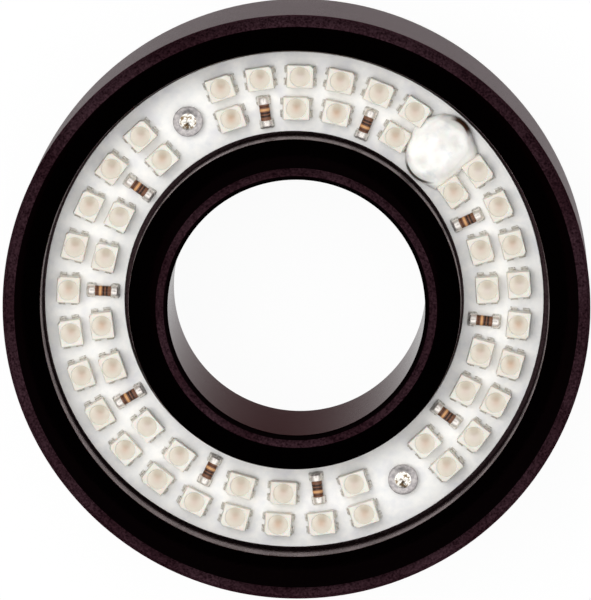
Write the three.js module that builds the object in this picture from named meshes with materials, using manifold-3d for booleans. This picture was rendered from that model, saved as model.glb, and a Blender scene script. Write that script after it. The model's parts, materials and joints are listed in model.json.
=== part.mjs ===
// An LED ring light of the kind that sits round a lens to light what is being inspected.
// A turned and milled aluminium ring holds a ring-shaped board of white LEDs in an open
// channel that faces forward. Lengths are millimetres and angles are degrees. The origin is
// the middle of the flat back face, +Z points the way the light shines, and the cable inlet
// is in the side wall towards -Y.

import * as THREE from 'three';
import { mergeVertices } from 'three/addons/utils/BufferGeometryUtils.js';
import Module from 'manifold-3d';

const wasm = await Module();
wasm.setup();

// Lens bore and the tube round it
const BORE_RADIUS = 15;
const BORE_CHAMFER = 0.43;
const TUBE_WALL = 4.45;
const TUBE_RIM_WIDTH = 1.45;

// Outer wall of the ring
const OUTER_WALL = 4.55;
const OUTER_RIM_WIDTH = 1.35;
const OUTER_CHAMFER = 0.35;

// Open channel: a cone at its mouth, then walls with a slight draft down to the board seats
const CONE_DEPTH = 3.2;
const WALL_DRAFT = 0.1;
const BOARD_RECESS = 7.6;

// Wiring groove under the board, and the plain back wall that closes it
const GROOVE_DEPTH = 11.2;
const BACK_WALL = 2.6;
const SEAT_WIDTH = 1.3;
const LAND_WIDTH = 5;

// Board
const BOARD_THICKNESS = 1.6;
const BOARD_CLEARANCE = 0.45;
const BOARD_MARGIN = 1.4;

// LED package: its moulded body, reflector cup and leads
const LED_LENGTH = 3.2;
const LED_WIDTH = 2.8;
const LED_HEIGHT = 1.9;
const LED_STANDOFF = 0.12;
const LED_DRAFT = 0.14;
const LED_PARTING_BAND = 0.12;
const LED_NOTCH = 0.55;
const CUP_RIM_RADIUS = 1.22;
const CUP_FLOOR_RADIUS = 0.98;
const CUP_DEPTH = 0.32;
const LEAD_REACH = 0.17;
const LEAD_WIDTH = 0.72;
const LEAD_HEIGHT = 0.92;
const LEAD_SPACING = 1.46;

// The two rows of LEDs, and the arcs of equal steps that both rows share. Arcs run
// anticlockwise. In the inner row the middle one of every three places has a resistor.
const ROW_GAP = 0.95;
const ARCS = [
  { first: -47.1, step: 10.35, places: 9 },
  { first: 57.9, step: 10.25, places: 6 },
  { first: 133, step: 11.1, places: 15 },
];
const PLACES_PER_RESISTOR = 3;

// Resistor: a small round body with metal end caps, lying along a radius in its solder
const RESISTOR_LENGTH = 3.6;
const RESISTOR_RADIUS = 0.62;
const RESISTOR_MARGIN = 0.4;
const CAP_RADIUS = 0.7;
const CAP_LENGTH = 0.72;
const SOLDER_HEIGHT = 0.42;
const SOLDER_FOOT = 0.3;

// Board screws: button heads with a hexagon socket
const SCREW_RADIUS = 1;
const SCREW_LENGTH = 6;
const SCREW_TIP_CHAMFER = 0.25;
const SCREW_CLEARANCE = 0.3;
const HEAD_RADIUS = 1.75;
const HEAD_HEIGHT = 1.15;
const HEAD_EDGE = 0.22;
const SOCKET_RADIUS = 0.78;
const SOCKET_DEPTH = 0.65;
const TAPPED_SPARE = 1.2;

// Silicone over the wire joints, and the two holes that bring the wires up to them
const SEALANT_HEIGHT = 2.5;
const SEALANT_MARGIN = 0.3;
const SEALANT_GAP = 0.32;
const WIRE_HOLE_RADIUS = 0.7;
const WIRE_HOLE_SPACING = 3.2;

// Cable inlet: a rubber grommet in a hole through the side wall, flange let in flush
const INLET_ANGLE = -90;
const GROMMET_BORE_RADIUS = 2.1;
const GROMMET_WALL = 1;
const GROMMET_FLANGE = 1.2;
const GROMMET_FLANGE_THICKNESS = 1.4;
const GROMMET_LIP = 0.8;
const GROMMET_LIP_THICKNESS = 1.1;
const GROMMET_GAP = 0.3;
const GROMMET_SINK = 0.35;

// Tapped fixing holes in the back
const FIXING_RADIUS = 1.25;
const FIXING_DEPTH = 6;
const FIXING_COUNTERSINK = 0.4;
const FIXING_FIRST_ANGLE = 45;
const FIXING_COUNT = 4;

// How far a cut runs past the face it opens, how deep a joined shape is rooted in the one
// that carries it, and how close two points are one point
const OVERRUN = 1;
const ROOT_DEPTH = 0.2;
const MERGE_DISTANCE = 0.0001;

// Facets
const RING_SEGMENTS = 96;
const ROUND_SEGMENTS = 20;
const HOLE_SEGMENTS = 12;
const CUP_SEGMENTS = 10;
const RESISTOR_SEGMENTS = 8;
const SOCKET_SIDES = 6;
const DOME_STEPS = 5;

// Radii, worked out from the bore towards the outside
const TUBE_RADIUS = BORE_RADIUS + TUBE_WALL;
const BOARD_HOLE_RADIUS = TUBE_RADIUS + BOARD_CLEARANCE;
const INNER_ROW_RADIUS = BOARD_HOLE_RADIUS + BOARD_MARGIN + LED_WIDTH / 2;
const OUTER_ROW_RADIUS = INNER_ROW_RADIUS + LED_WIDTH + ROW_GAP;
const BOARD_RADIUS = OUTER_ROW_RADIUS + LED_WIDTH / 2 + BOARD_MARGIN;
const CHANNEL_RADIUS = BOARD_RADIUS + BOARD_CLEARANCE;
const OUTER_RADIUS = CHANNEL_RADIUS + OUTER_WALL;
const MIDDLE_RADIUS = (BOARD_HOLE_RADIUS + BOARD_RADIUS) / 2;
const GROOVE_INNER_RADIUS = BOARD_HOLE_RADIUS + SEAT_WIDTH;
const GROOVE_OUTER_RADIUS = BOARD_RADIUS - SEAT_WIDTH;

// Heights, worked out from the back face forward
const SEAT_Z = BACK_WALL + GROOVE_DEPTH;
const BOARD_TOP_Z = SEAT_Z + BOARD_THICKNESS;
const FRONT_Z = BOARD_TOP_Z + BOARD_RECESS;
const CONE_FOOT_Z = FRONT_Z - CONE_DEPTH;
const INLET_Z = BACK_WALL + GROOVE_DEPTH / 2;

// The grommet's radii and the two faces that hold it in the wall
const GROMMET_NECK_RADIUS = GROMMET_BORE_RADIUS + GROMMET_WALL;
const GROMMET_FLANGE_RADIUS = GROMMET_NECK_RADIUS + GROMMET_FLANGE;
const GROMMET_LIP_RADIUS = GROMMET_NECK_RADIUS + GROMMET_LIP;
const INLET_HOLE_RADIUS = GROMMET_NECK_RADIUS + GROMMET_GAP;
const INLET_SEAT = OUTER_RADIUS - GROMMET_SINK - GROMMET_FLANGE_THICKNESS - GROMMET_GAP;

const TAPPED_RADIUS = SCREW_RADIUS + SCREW_CLEARANCE;
const TAPPED_DEPTH = SCREW_LENGTH - BOARD_THICKNESS + TAPPED_SPARE;

function radians(degrees) {
  return THREE.MathUtils.degToRad(degrees);
}

// The direction of an angle round the ring, scaled to a radius
function onRing(radius, degrees) {
  return new THREE.Vector2(radius * Math.cos(radians(degrees)), radius * Math.sin(radians(degrees)));
}

// A closed mesh is a solid once its seams are merged and its slivers at the axis dropped.
function solidFrom(geometry) {
  const bare = geometry.clone();
  bare.deleteAttribute('normal');
  bare.deleteAttribute('uv');
  const merged = mergeVertices(bare, MERGE_DISTANCE);
  const corners = merged.index.array;
  const triangles = [];
  for (let i = 0; i < corners.length; i += 3) {
    const [a, b, c] = [corners[i], corners[i + 1], corners[i + 2]];
    if (a !== b && b !== c && c !== a) {
      triangles.push(a, b, c);
    }
  }
  return new wasm.Manifold(new wasm.Mesh({
    numProp: 3,
    vertProperties: new Float32Array(merged.attributes.position.array),
    triVerts: new Uint32Array(triangles),
  }));
}

function geometryFrom(solid) {
  const mesh = solid.getMesh();
  const geometry = new THREE.BufferGeometry();
  geometry.setAttribute('position', new THREE.BufferAttribute(new Float32Array(mesh.vertProperties), 3));
  geometry.setIndex(new THREE.BufferAttribute(new Uint32Array(mesh.triVerts), 1));
  geometry.computeVertexNormals();
  return geometry;
}

// Turn a closed profile of [radius, height] points round the Z axis. The first point is
// repeated at the end unless the profile starts on the axis.
function turned(profile, segments) {
  const points = profile.map(([radius, height]) => new THREE.Vector2(radius, height));
  if (points[0].x > 0) {
    points.push(points[0].clone());
  }
  return new THREE.LatheGeometry(points, segments).rotateX(Math.PI / 2);
}

// A plain round hole or pin from one height to another
function rod(radius, low, high, segments) {
  return turned([[0, low], [radius, low], [radius, high], [0, high]], segments);
}

// Points of an arc from one angle up to, but not including, the other
function arcPoints(centre, radius, from, to, steps) {
  const points = [];
  for (let i = 0; i < steps; i += 1) {
    points.push(onRing(radius, from + ((to - from) * i) / steps).add(centre));
  }
  return points;
}

// The middle angle of the gap between each arc of LEDs and the next one round
const GAP_ANGLES = ARCS.map((arc, i) => {
  const next = ARCS[(i + 1) % ARCS.length];
  const end = arc.first + arc.step * (arc.places - 1);
  const start = next.first + (next.first < end ? 360 : 0);
  return { middle: (end + start) / 2, half: (start - end) / 2 };
});
const [SEALANT_PLACE, ...SCREW_PLACES] = GAP_ANGLES;
const [ARC_BEFORE_WIRES, ARC_AFTER_WIRES] = ARCS;

// One milled length of the wiring groove, with the round ends that the cutter leaves
function grooveSlot(from, to) {
  const radius = (GROOVE_OUTER_RADIUS - GROOVE_INNER_RADIUS) / 2;
  const middle = (GROOVE_OUTER_RADIUS + GROOVE_INNER_RADIUS) / 2;
  const steps = Math.ceil(((to - from) * RING_SEGMENTS) / 360);
  const centre = new THREE.Vector2(0, 0);
  const outline = [
    ...arcPoints(centre, GROOVE_OUTER_RADIUS, from, to, steps),
    ...arcPoints(onRing(middle, to), radius, to, to + 180, HOLE_SEGMENTS / 2),
    ...arcPoints(centre, GROOVE_INNER_RADIUS, to, from, steps),
    ...arcPoints(onRing(middle, from), radius, from + 180, from + 360, HOLE_SEGMENTS / 2),
  ];
  const slot = new THREE.ExtrudeGeometry(new THREE.Shape(outline), {
    depth: GROOVE_DEPTH + OVERRUN,
    bevelEnabled: false,
  });
  return slot.translate(0, 0, BACK_WALL);
}

// The ring itself: one turned profile with the open channel in it, then the milled groove
// and the drilled holes
function housing() {
  const profile = [
    [BORE_RADIUS + BORE_CHAMFER, 0],
    [OUTER_RADIUS - OUTER_CHAMFER, 0],
    [OUTER_RADIUS, OUTER_CHAMFER],
    [OUTER_RADIUS, FRONT_Z - OUTER_CHAMFER],
    [OUTER_RADIUS - OUTER_CHAMFER, FRONT_Z],
    [OUTER_RADIUS - OUTER_RIM_WIDTH, FRONT_Z],
    [CHANNEL_RADIUS + WALL_DRAFT, CONE_FOOT_Z],
    [CHANNEL_RADIUS, SEAT_Z],
    [TUBE_RADIUS, SEAT_Z],
    [TUBE_RADIUS - WALL_DRAFT, CONE_FOOT_Z],
    [BORE_RADIUS + TUBE_RIM_WIDTH, FRONT_Z],
    [BORE_RADIUS + BORE_CHAMFER, FRONT_Z],
    [BORE_RADIUS, FRONT_Z - BORE_CHAMFER],
    [BORE_RADIUS, BORE_CHAMFER],
  ];
  let ring = solidFrom(turned(profile, RING_SEGMENTS));

  const slotRadius = (GROOVE_OUTER_RADIUS - GROOVE_INNER_RADIUS) / 2;
  const landHalf = THREE.MathUtils.radToDeg((LAND_WIDTH / 2 + slotRadius) / MIDDLE_RADIUS);
  const [screwA, screwB] = SCREW_PLACES.map((place) => place.middle);
  const slots = [[screwA + landHalf, screwB - landHalf], [screwB + landHalf, screwA + 360 - landHalf]];
  for (const [from, to] of slots) {
    ring = ring.subtract(solidFrom(grooveSlot(from, to)));
  }

  const tapped = rod(TAPPED_RADIUS, SEAT_Z - TAPPED_DEPTH, SEAT_Z + OVERRUN, HOLE_SEGMENTS);
  for (const { middle } of SCREW_PLACES) {
    const place = onRing(MIDDLE_RADIUS, middle);
    ring = ring.subtract(solidFrom(tapped.clone().translate(place.x, place.y, 0)));
  }

  const fixing = turned([
    [0, -OVERRUN],
    [FIXING_RADIUS + FIXING_COUNTERSINK + OVERRUN, -OVERRUN],
    [FIXING_RADIUS, FIXING_COUNTERSINK],
    [FIXING_RADIUS, FIXING_DEPTH],
    [0, FIXING_DEPTH],
  ], HOLE_SEGMENTS);
  for (let i = 0; i < FIXING_COUNT; i += 1) {
    const angle = FIXING_FIRST_ANGLE + (360 * i) / FIXING_COUNT;
    const place = onRing((GROOVE_OUTER_RADIUS + OUTER_RADIUS) / 2, angle);
    ring = ring.subtract(solidFrom(fixing.clone().translate(place.x, place.y, 0)));
  }

  const inlet = turned([
    [0, MIDDLE_RADIUS],
    [INLET_HOLE_RADIUS, MIDDLE_RADIUS],
    [INLET_HOLE_RADIUS, INLET_SEAT],
    [GROMMET_FLANGE_RADIUS + GROMMET_GAP, INLET_SEAT],
    [GROMMET_FLANGE_RADIUS + GROMMET_GAP, OUTER_RADIUS + OVERRUN],
    [0, OUTER_RADIUS + OVERRUN],
  ], ROUND_SEGMENTS);
  return geometryFrom(ring.subtract(solidFrom(atInlet(inlet))));
}

// Lay something turned about Z along the inlet's own line, out through the side wall
function atInlet(geometry) {
  return geometry.rotateY(Math.PI / 2).rotateZ(radians(INLET_ANGLE)).translate(0, 0, INLET_Z);
}

// The rubber sleeve in the inlet, with a flange outside and a lip behind the wall
function grommet() {
  const flangeFace = INLET_SEAT + GROMMET_GAP;
  const lipFace = Math.sqrt(GROOVE_OUTER_RADIUS ** 2 - GROMMET_LIP_RADIUS ** 2) - GROMMET_GAP;
  return atInlet(turned([
    [GROMMET_BORE_RADIUS, lipFace - GROMMET_LIP_THICKNESS],
    [GROMMET_NECK_RADIUS, lipFace - GROMMET_LIP_THICKNESS],
    [GROMMET_LIP_RADIUS, lipFace],
    [GROMMET_NECK_RADIUS, lipFace],
    [GROMMET_NECK_RADIUS, flangeFace],
    [GROMMET_FLANGE_RADIUS, flangeFace],
    [GROMMET_FLANGE_RADIUS, flangeFace + GROMMET_FLANGE_THICKNESS],
    [GROMMET_BORE_RADIUS, flangeFace + GROMMET_FLANGE_THICKNESS],
  ], ROUND_SEGMENTS));
}

// A four-sided block that narrows towards its top by the same amount on every side
function taperedBlock(length, width, height, taper) {
  const corners = [[1, 1], [-1, 1], [-1, -1], [1, -1]];
  const outline = corners.map(([x, y]) => new THREE.Vector2((x * length) / 2, (y * width) / 2));
  const block = new THREE.ExtrudeGeometry(new THREE.Shape(outline), { depth: height, bevelEnabled: false });
  const position = block.attributes.position;
  for (let i = 0; i < position.count; i += 1) {
    if (position.getZ(i) > 0) {
      position.setX(i, position.getX(i) - Math.sign(position.getX(i)) * taper);
      position.setY(i, position.getY(i) - Math.sign(position.getY(i)) * taper);
    }
  }
  return block;
}

// A resistor with its solder, standing on z = 0 with its length along X
function resistor() {
  const half = RESISTOR_LENGTH / 2;
  const body = turned([
    [0, -half],
    [CAP_RADIUS, -half],
    [CAP_RADIUS, CAP_LENGTH - half],
    [RESISTOR_RADIUS, CAP_LENGTH - half],
    [RESISTOR_RADIUS, half - CAP_LENGTH],
    [CAP_RADIUS, half - CAP_LENGTH],
    [CAP_RADIUS, half],
    [0, half],
  ], RESISTOR_SEGMENTS);
  let joined = solidFrom(body.rotateY(Math.PI / 2).translate(0, 0, CAP_RADIUS));
  for (const side of [-1, 1]) {
    const length = CAP_LENGTH + SOLDER_FOOT * 2;
    const solder = taperedBlock(length, CAP_RADIUS * 2, SOLDER_HEIGHT + ROOT_DEPTH, SOLDER_FOOT);
    joined = joined.add(solidFrom(solder.translate(side * (half - CAP_LENGTH / 2), 0, -ROOT_DEPTH)));
  }
  return joined;
}

// The middle place of every three in the inner row has a resistor, not an LED
function isResistor(place) {
  return place % PLACES_PER_RESISTOR === 1;
}

// An inner LED moves away from its neighbour in the row, or from the wire joints, so that
// two LEDs side by side stand as far apart, in millimetres, as in the outer row.
function innerShift(arc, place) {
  const freeStart = place === 0 && arc !== ARC_AFTER_WIRES;
  const freeEnd = place === arc.places - 1 && arc !== ARC_BEFORE_WIRES;
  if (isResistor(place) || freeStart || freeEnd) {
    return 0;
  }
  const shift = ((OUTER_ROW_RADIUS / INNER_ROW_RADIUS - 1) * arc.step) / 2;
  return isResistor(place + 1) ? shift : -shift;
}

const OUTER_LED_ANGLES = [];
const INNER_LED_ANGLES = [];
const RESISTOR_ANGLES = [];
for (const arc of ARCS) {
  for (let place = 0; place < arc.places; place += 1) {
    const angle = arc.first + arc.step * place;
    const innerRow = isResistor(place) ? RESISTOR_ANGLES : INNER_LED_ANGLES;
    OUTER_LED_ANGLES.push(angle);
    innerRow.push(angle + innerShift(arc, place));
  }
}

// The board: a flat ring with its screw and wire holes, and the resistors soldered to it
function board() {
  let plate = solidFrom(turned([
    [BOARD_HOLE_RADIUS, SEAT_Z],
    [BOARD_RADIUS, SEAT_Z],
    [BOARD_RADIUS, BOARD_TOP_Z],
    [BOARD_HOLE_RADIUS, BOARD_TOP_Z],
  ], RING_SEGMENTS));

  const holes = SCREW_PLACES.map(({ middle }) => [TAPPED_RADIUS, onRing(MIDDLE_RADIUS, middle)]);
  for (const side of [-1, 1]) {
    const radius = MIDDLE_RADIUS + (side * WIRE_HOLE_SPACING) / 2;
    holes.push([WIRE_HOLE_RADIUS, onRing(radius, SEALANT_PLACE.middle)]);
  }
  for (const [radius, place] of holes) {
    const hole = rod(radius, SEAT_Z - OVERRUN, BOARD_TOP_Z + OVERRUN, HOLE_SEGMENTS);
    plate = plate.subtract(solidFrom(hole.translate(place.x, place.y, 0)));
  }

  const soldered = resistor();
  for (const angle of RESISTOR_ANGLES) {
    const place = onRing(BOARD_HOLE_RADIUS + RESISTOR_MARGIN + RESISTOR_LENGTH / 2, angle);
    plate = plate.add(soldered.rotate([0, 0, angle]).translate([place.x, place.y, BOARD_TOP_Z]));
  }
  return geometryFrom(plate);
}

// An LED package standing on z = 0, leads along X. Its body is drafted both ways from the
// parting line, has one corner cut off to mark the cathode, and a cup in its top.
function ledPackage() {
  const x = LED_LENGTH / 2;
  const y = LED_WIDTH / 2;
  const outline = [[x, -y], [x, y - LED_NOTCH], [x - LED_NOTCH, y], [-x, y], [-x, -y]];
  const shape = new THREE.Shape(outline.map(([px, py]) => new THREE.Vector2(px, py)));
  const drafted = (LED_HEIGHT - LED_STANDOFF - LED_PARTING_BAND) / 2;
  const body = new THREE.ExtrudeGeometry(shape, {
    depth: LED_PARTING_BAND,
    bevelThickness: drafted,
    bevelSize: LED_DRAFT,
    bevelOffset: -LED_DRAFT,
    bevelSegments: 1,
  });
  let solid = solidFrom(body.translate(0, 0, LED_STANDOFF + drafted));

  for (const side of [-1, 1]) {
    const lead = new THREE.BoxGeometry(LED_LENGTH + LEAD_REACH * 2, LEAD_WIDTH, LEAD_HEIGHT);
    lead.translate(0, (side * LEAD_SPACING) / 2, LEAD_HEIGHT / 2);
    solid = solid.add(solidFrom(lead));
  }

  const cup = turned([
    [0, LED_HEIGHT - CUP_DEPTH],
    [CUP_FLOOR_RADIUS, LED_HEIGHT - CUP_DEPTH],
    [CUP_RIM_RADIUS, LED_HEIGHT],
    [CUP_RIM_RADIUS, LED_HEIGHT + OVERRUN],
    [0, LED_HEIGHT + OVERRUN],
  ], CUP_SEGMENTS);
  return geometryFrom(solid.subtract(solidFrom(cup)));
}

// A board screw with the underside of its head on z = 0
function boardScrew() {
  const crown = [];
  for (let i = 0; i <= DOME_STEPS; i += 1) {
    const t = i / DOME_STEPS;
    const radius = HEAD_RADIUS + (SOCKET_RADIUS - HEAD_RADIUS) * t;
    const rise = (HEAD_HEIGHT - HEAD_EDGE) * Math.sin((t * Math.PI) / 2);
    crown.push([radius, HEAD_EDGE + rise]);
  }
  const screw = solidFrom(turned([
    [0, -SCREW_LENGTH],
    [SCREW_RADIUS - SCREW_TIP_CHAMFER, -SCREW_LENGTH],
    [SCREW_RADIUS, SCREW_TIP_CHAMFER - SCREW_LENGTH],
    [SCREW_RADIUS, 0],
    [HEAD_RADIUS, 0],
    ...crown,
    [0, HEAD_HEIGHT],
  ], ROUND_SEGMENTS));
  const socket = rod(SOCKET_RADIUS, HEAD_HEIGHT - SOCKET_DEPTH, HEAD_HEIGHT + OVERRUN, SOCKET_SIDES);
  return geometryFrom(screw.subtract(solidFrom(socket)));
}

// How far a row's LEDs leave free on each side of the wire joints' middle line
function freeBesideWires(rowRadius, halfGap) {
  return rowRadius * Math.sin(radians(halfGap)) - LED_LENGTH / 2 - LEAD_REACH - SEALANT_GAP;
}

// The dab of silicone: a flat-bottomed dome, its length along a radius, which widens
// outwards as the gap between two arcs of LEDs does
function sealant() {
  const dome = [[0, 0]];
  for (let i = 0; i <= DOME_STEPS; i += 1) {
    const t = (i / DOME_STEPS) * (Math.PI / 2);
    dome.push([Math.cos(t), Math.sin(t)]);
  }
  const { half } = SEALANT_PLACE;
  const inner = freeBesideWires(INNER_ROW_RADIUS, half + innerShift(ARC_AFTER_WIRES, 0));
  const outer = freeBesideWires(OUTER_ROW_RADIUS, half);
  const reach = (BOARD_RADIUS - BOARD_HOLE_RADIUS) / 2 - SEALANT_MARGIN;
  const widening = (outer - inner) / (OUTER_ROW_RADIUS - INNER_ROW_RADIUS);
  const dab = turned(dome, ROUND_SEGMENTS);
  const position = dab.attributes.position;
  for (let i = 0; i < position.count; i += 1) {
    const outward = position.getY(i) * reach;
    const width = inner + widening * (MIDDLE_RADIUS + outward - INNER_ROW_RADIUS);
    position.setXYZ(i, position.getX(i) * width, outward, position.getZ(i) * SEALANT_HEIGHT);
  }
  return dab;
}

const FINISHES = {
  anodised: { color: 0x2a2225, roughness: 0.42, metalness: 0.6 },
  boardWhite: { color: 0xeef0f3, roughness: 0.5, metalness: 0 },
  ledCream: { color: 0xf3ebda, roughness: 0.45, metalness: 0 },
  silicone: { color: 0xf4f2ea, roughness: 0.35, metalness: 0 },
  screwSteel: { color: 0xb4b3b5, roughness: 0.3, metalness: 1 },
  rubber: { color: 0x1b1b1c, roughness: 0.8, metalness: 0 },
};

const ringLight = new THREE.Group();

// Add a named piece. One that repeats round the ring stands at a radius and an angle, with
// its own +Y pointing outwards.
function addPiece(name, geometry, finish) {
  const piece = new THREE.Mesh(geometry, new THREE.MeshStandardMaterial(FINISHES[finish]));
  piece.name = name;
  ringLight.add(piece);
  return piece;
}

function addOnBoard(name, geometry, finish, radius, angle) {
  const place = onRing(radius, angle);
  const piece = addPiece(name, geometry, finish);
  piece.position.set(place.x, place.y, BOARD_TOP_Z);
  piece.rotation.z = radians(angle - 90);
}

addPiece('housing', housing(), 'anodised');
addPiece('led_board', board(), 'boardWhite');
addPiece('cable_grommet', grommet(), 'rubber');
SCREW_PLACES.forEach(({ middle }, i) => {
  addOnBoard(`board_screw_${i + 1}`, boardScrew(), 'screwSteel', MIDDLE_RADIUS, middle);
});
addOnBoard('wire_sealant', sealant(), 'silicone', MIDDLE_RADIUS, SEALANT_PLACE.middle);

const led = ledPackage();
OUTER_LED_ANGLES.forEach((angle, i) => {
  const number = String(i + 1).padStart(2, '0');
  addOnBoard(`led_outer_${number}`, led, 'ledCream', OUTER_ROW_RADIUS, angle);
});
INNER_LED_ANGLES.forEach((angle, i) => {
  const number = String(i + 1).padStart(2, '0');
  addOnBoard(`led_inner_${number}`, led, 'ledCream', INNER_ROW_RADIUS, angle);
});

export default ringLight;
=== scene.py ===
# %% [markdown]
# # An LED ring light, dressed for its photograph
#
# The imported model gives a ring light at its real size: a turned black housing, a white board
# ring with its resistors, fifty LED packages, two screws, a dab of silicone and a rubber
# grommet. This lesson makes the finished look of each of them. Every length is in metres, in
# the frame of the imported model: the back face lies on z = 0 and the light shines along +Z.

# %% Load the frame
import json
import math

import bmesh
import bpy
from mathutils import Matrix, Vector

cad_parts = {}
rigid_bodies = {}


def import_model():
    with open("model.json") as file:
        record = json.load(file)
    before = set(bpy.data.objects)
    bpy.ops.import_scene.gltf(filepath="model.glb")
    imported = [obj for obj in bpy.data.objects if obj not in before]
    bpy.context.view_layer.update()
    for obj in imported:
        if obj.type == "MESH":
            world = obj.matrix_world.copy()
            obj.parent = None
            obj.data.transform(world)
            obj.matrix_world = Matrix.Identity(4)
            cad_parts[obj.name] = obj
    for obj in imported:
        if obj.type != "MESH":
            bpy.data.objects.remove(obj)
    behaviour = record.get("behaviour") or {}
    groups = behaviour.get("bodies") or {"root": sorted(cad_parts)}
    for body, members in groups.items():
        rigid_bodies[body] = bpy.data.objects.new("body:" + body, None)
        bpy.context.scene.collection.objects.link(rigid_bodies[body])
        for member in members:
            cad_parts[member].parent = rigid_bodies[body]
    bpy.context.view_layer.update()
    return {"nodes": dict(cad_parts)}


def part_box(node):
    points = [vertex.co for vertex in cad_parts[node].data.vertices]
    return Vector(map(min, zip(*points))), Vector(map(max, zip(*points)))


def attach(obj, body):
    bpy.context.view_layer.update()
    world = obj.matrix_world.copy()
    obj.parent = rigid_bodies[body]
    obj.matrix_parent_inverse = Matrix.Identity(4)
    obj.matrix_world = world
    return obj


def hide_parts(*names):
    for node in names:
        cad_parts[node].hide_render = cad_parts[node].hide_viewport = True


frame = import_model()

# %% [markdown]
# ## Sizes of the ring
#
# The outside and the board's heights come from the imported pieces. The rest of the section is
# named here once, as on a turner's drawing, and MM turns millimetres into metres. Nothing
# sits quite true on the real ring, and the photograph shows it: the channel lies a little
# beside the bore's axis, the board has slipped and turned under its screws, and the screws
# with their tapped holes stand a touch to the left.

# %% Sizes of the ring's section
MM = 0.001
FULL_TURN = 2 * math.pi
QUARTER_TURN = math.pi / 2

housing_low, housing_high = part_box("housing")
OUTER_RADIUS = (housing_high.x - housing_low.x) / 2
FRONT_Z = housing_high.z
BORE_RADIUS = 15 * MM
TUBE_RADIUS = 19.53 * MM
CHANNEL_RADIUS = 29.63 * MM
TUBE_RIM_WIDTH = 1.38 * MM
OUTER_RIM_WIDTH = 1.35 * MM
CONE_DEPTH = 3.2 * MM
WALL_DRAFT = 0.1 * MM
EDGE_ROUND = 0.12 * MM
RIM_CHAMFER = 0.38 * MM
CHANNEL_SLIP = (-0.26 * MM, 0.05 * MM, 0)
cone_foot = FRONT_Z - CONE_DEPTH

board_low, board_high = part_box("led_board")
BOARD_RADIUS = (board_high.x - board_low.x) / 2
BOARD_HOLE_RADIUS = 19.9 * MM
BOARD_THICKNESS = 1.6 * MM
BOARD_MIDDLE = (BOARD_RADIUS + BOARD_HOLE_RADIUS) / 2
BOARD_SLIP = (-0.39 * MM, 0.09 * MM, 0)
SCREW_SLIP = Vector((-0.12 * MM, 0.1 * MM, 0))
BOARD_TURN = math.radians(-0.23)
board_place = Matrix.Translation(BOARD_SLIP) @ Matrix.Rotation(BOARD_TURN, 4, "Z")
SEAT_Z = board_low.z
BOARD_TOP_Z = SEAT_Z + BOARD_THICKNESS
print(f"ring {OUTER_RADIUS / MM:.2f} mm in radius, {FRONT_Z / MM:.2f} mm high")
print(f"board from {BOARD_HOLE_RADIUS / MM:.2f} to {BOARD_RADIUS / MM:.2f} mm in radius")
print(f"board's top at {BOARD_TOP_Z / MM:.2f} mm")

# %% [markdown]
# ## Camera
#
# The photograph looks almost straight down the bore, from a little towards +Y and a touch
# towards +X, through a long lens. One pixel at the front face is about 0.116 mm, so the
# distance follows from the lens. The ring's front sits a few pixels below the middle of the
# picture, so the camera aims at a point that much above it.

# %% Camera
VIEW_TILT = math.radians(6.8)
VIEW_TURN = math.radians(1.15)
METRES_PER_PIXEL = 0.11642 * MM
LONG_SIDE_PIXELS = 600
LENS_MM = 520
AIM_UP_PIXELS = 8.4
AIM_RIGHT_PIXELS = -0.7

camera_data = bpy.data.cameras.new("camera")
camera_data.lens = LENS_MM
camera_data.dof.use_dof = False
camera_data.clip_start = 0.05
camera_data.clip_end = 50
camera = bpy.data.objects.new("camera", camera_data)
bpy.context.scene.collection.objects.link(camera)
bpy.context.scene.camera = camera
bpy.context.scene.view_settings.view_transform = "Standard"

distance = METRES_PER_PIXEL * LONG_SIDE_PIXELS * LENS_MM / camera_data.sensor_width
towards_camera = Vector((math.tan(VIEW_TURN), math.tan(VIEW_TILT), 1)).normalized()
picture_up = Vector((0, 1, 0)) - towards_camera * towards_camera.y
picture_up.normalize()
picture_right = picture_up.cross(towards_camera)
aim_step = picture_up * AIM_UP_PIXELS + picture_right * AIM_RIGHT_PIXELS
aim = Vector((0, 0, FRONT_Z)) + aim_step * METRES_PER_PIXEL
turn = Matrix((picture_right, picture_up, towards_camera)).transposed()
camera.matrix_world = Matrix.Translation(aim + towards_camera * distance) @ turn.to_4x4()
print(f"camera {distance:.3f} m from the front face")

# %% [markdown]
# ## Shader maths as plain sums
#
# A material is easier to read when its maths looks like maths. `Wire` wraps the output of a
# node, and adding, subtracting or multiplying wires adds the Math nodes for it. Any other
# node comes from `node`, which sets the node's own settings first and then its inputs.

# %% Wires
class Wire:
    """One output of a node, with sums of outputs written as Python sums."""

    def __init__(self, tree, socket):
        self.tree = tree
        self.socket = socket

    def maths(self, operation, *values, clamp=False):
        return self.tree.node("ShaderNodeMath", *values, operation=operation, use_clamp=clamp)

    def __add__(self, other):
        return self.maths("ADD", self, other)

    def __sub__(self, other):
        return self.maths("SUBTRACT", self, other)

    def __rsub__(self, other):
        return self.maths("SUBTRACT", other, self)

    def __mul__(self, other):
        return self.maths("MULTIPLY", self, other)

    __radd__ = __add__
    __rmul__ = __mul__

    def wave(self):
        return self.maths("SINE", self)

    def root(self):
        return self.maths("SQRT", self)

    def ramp(self, low, high):
        """0 at low and 1 at high, straight between them, and flat outside."""
        return self.maths("DIVIDE", self - low, high - low, clamp=True)

    def between(self, low, high, edge):
        """1 from low to high, falling to 0 over an edge on each side."""
        return self.ramp(low - edge, low) * (1 - self.ramp(high, high + edge))


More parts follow.
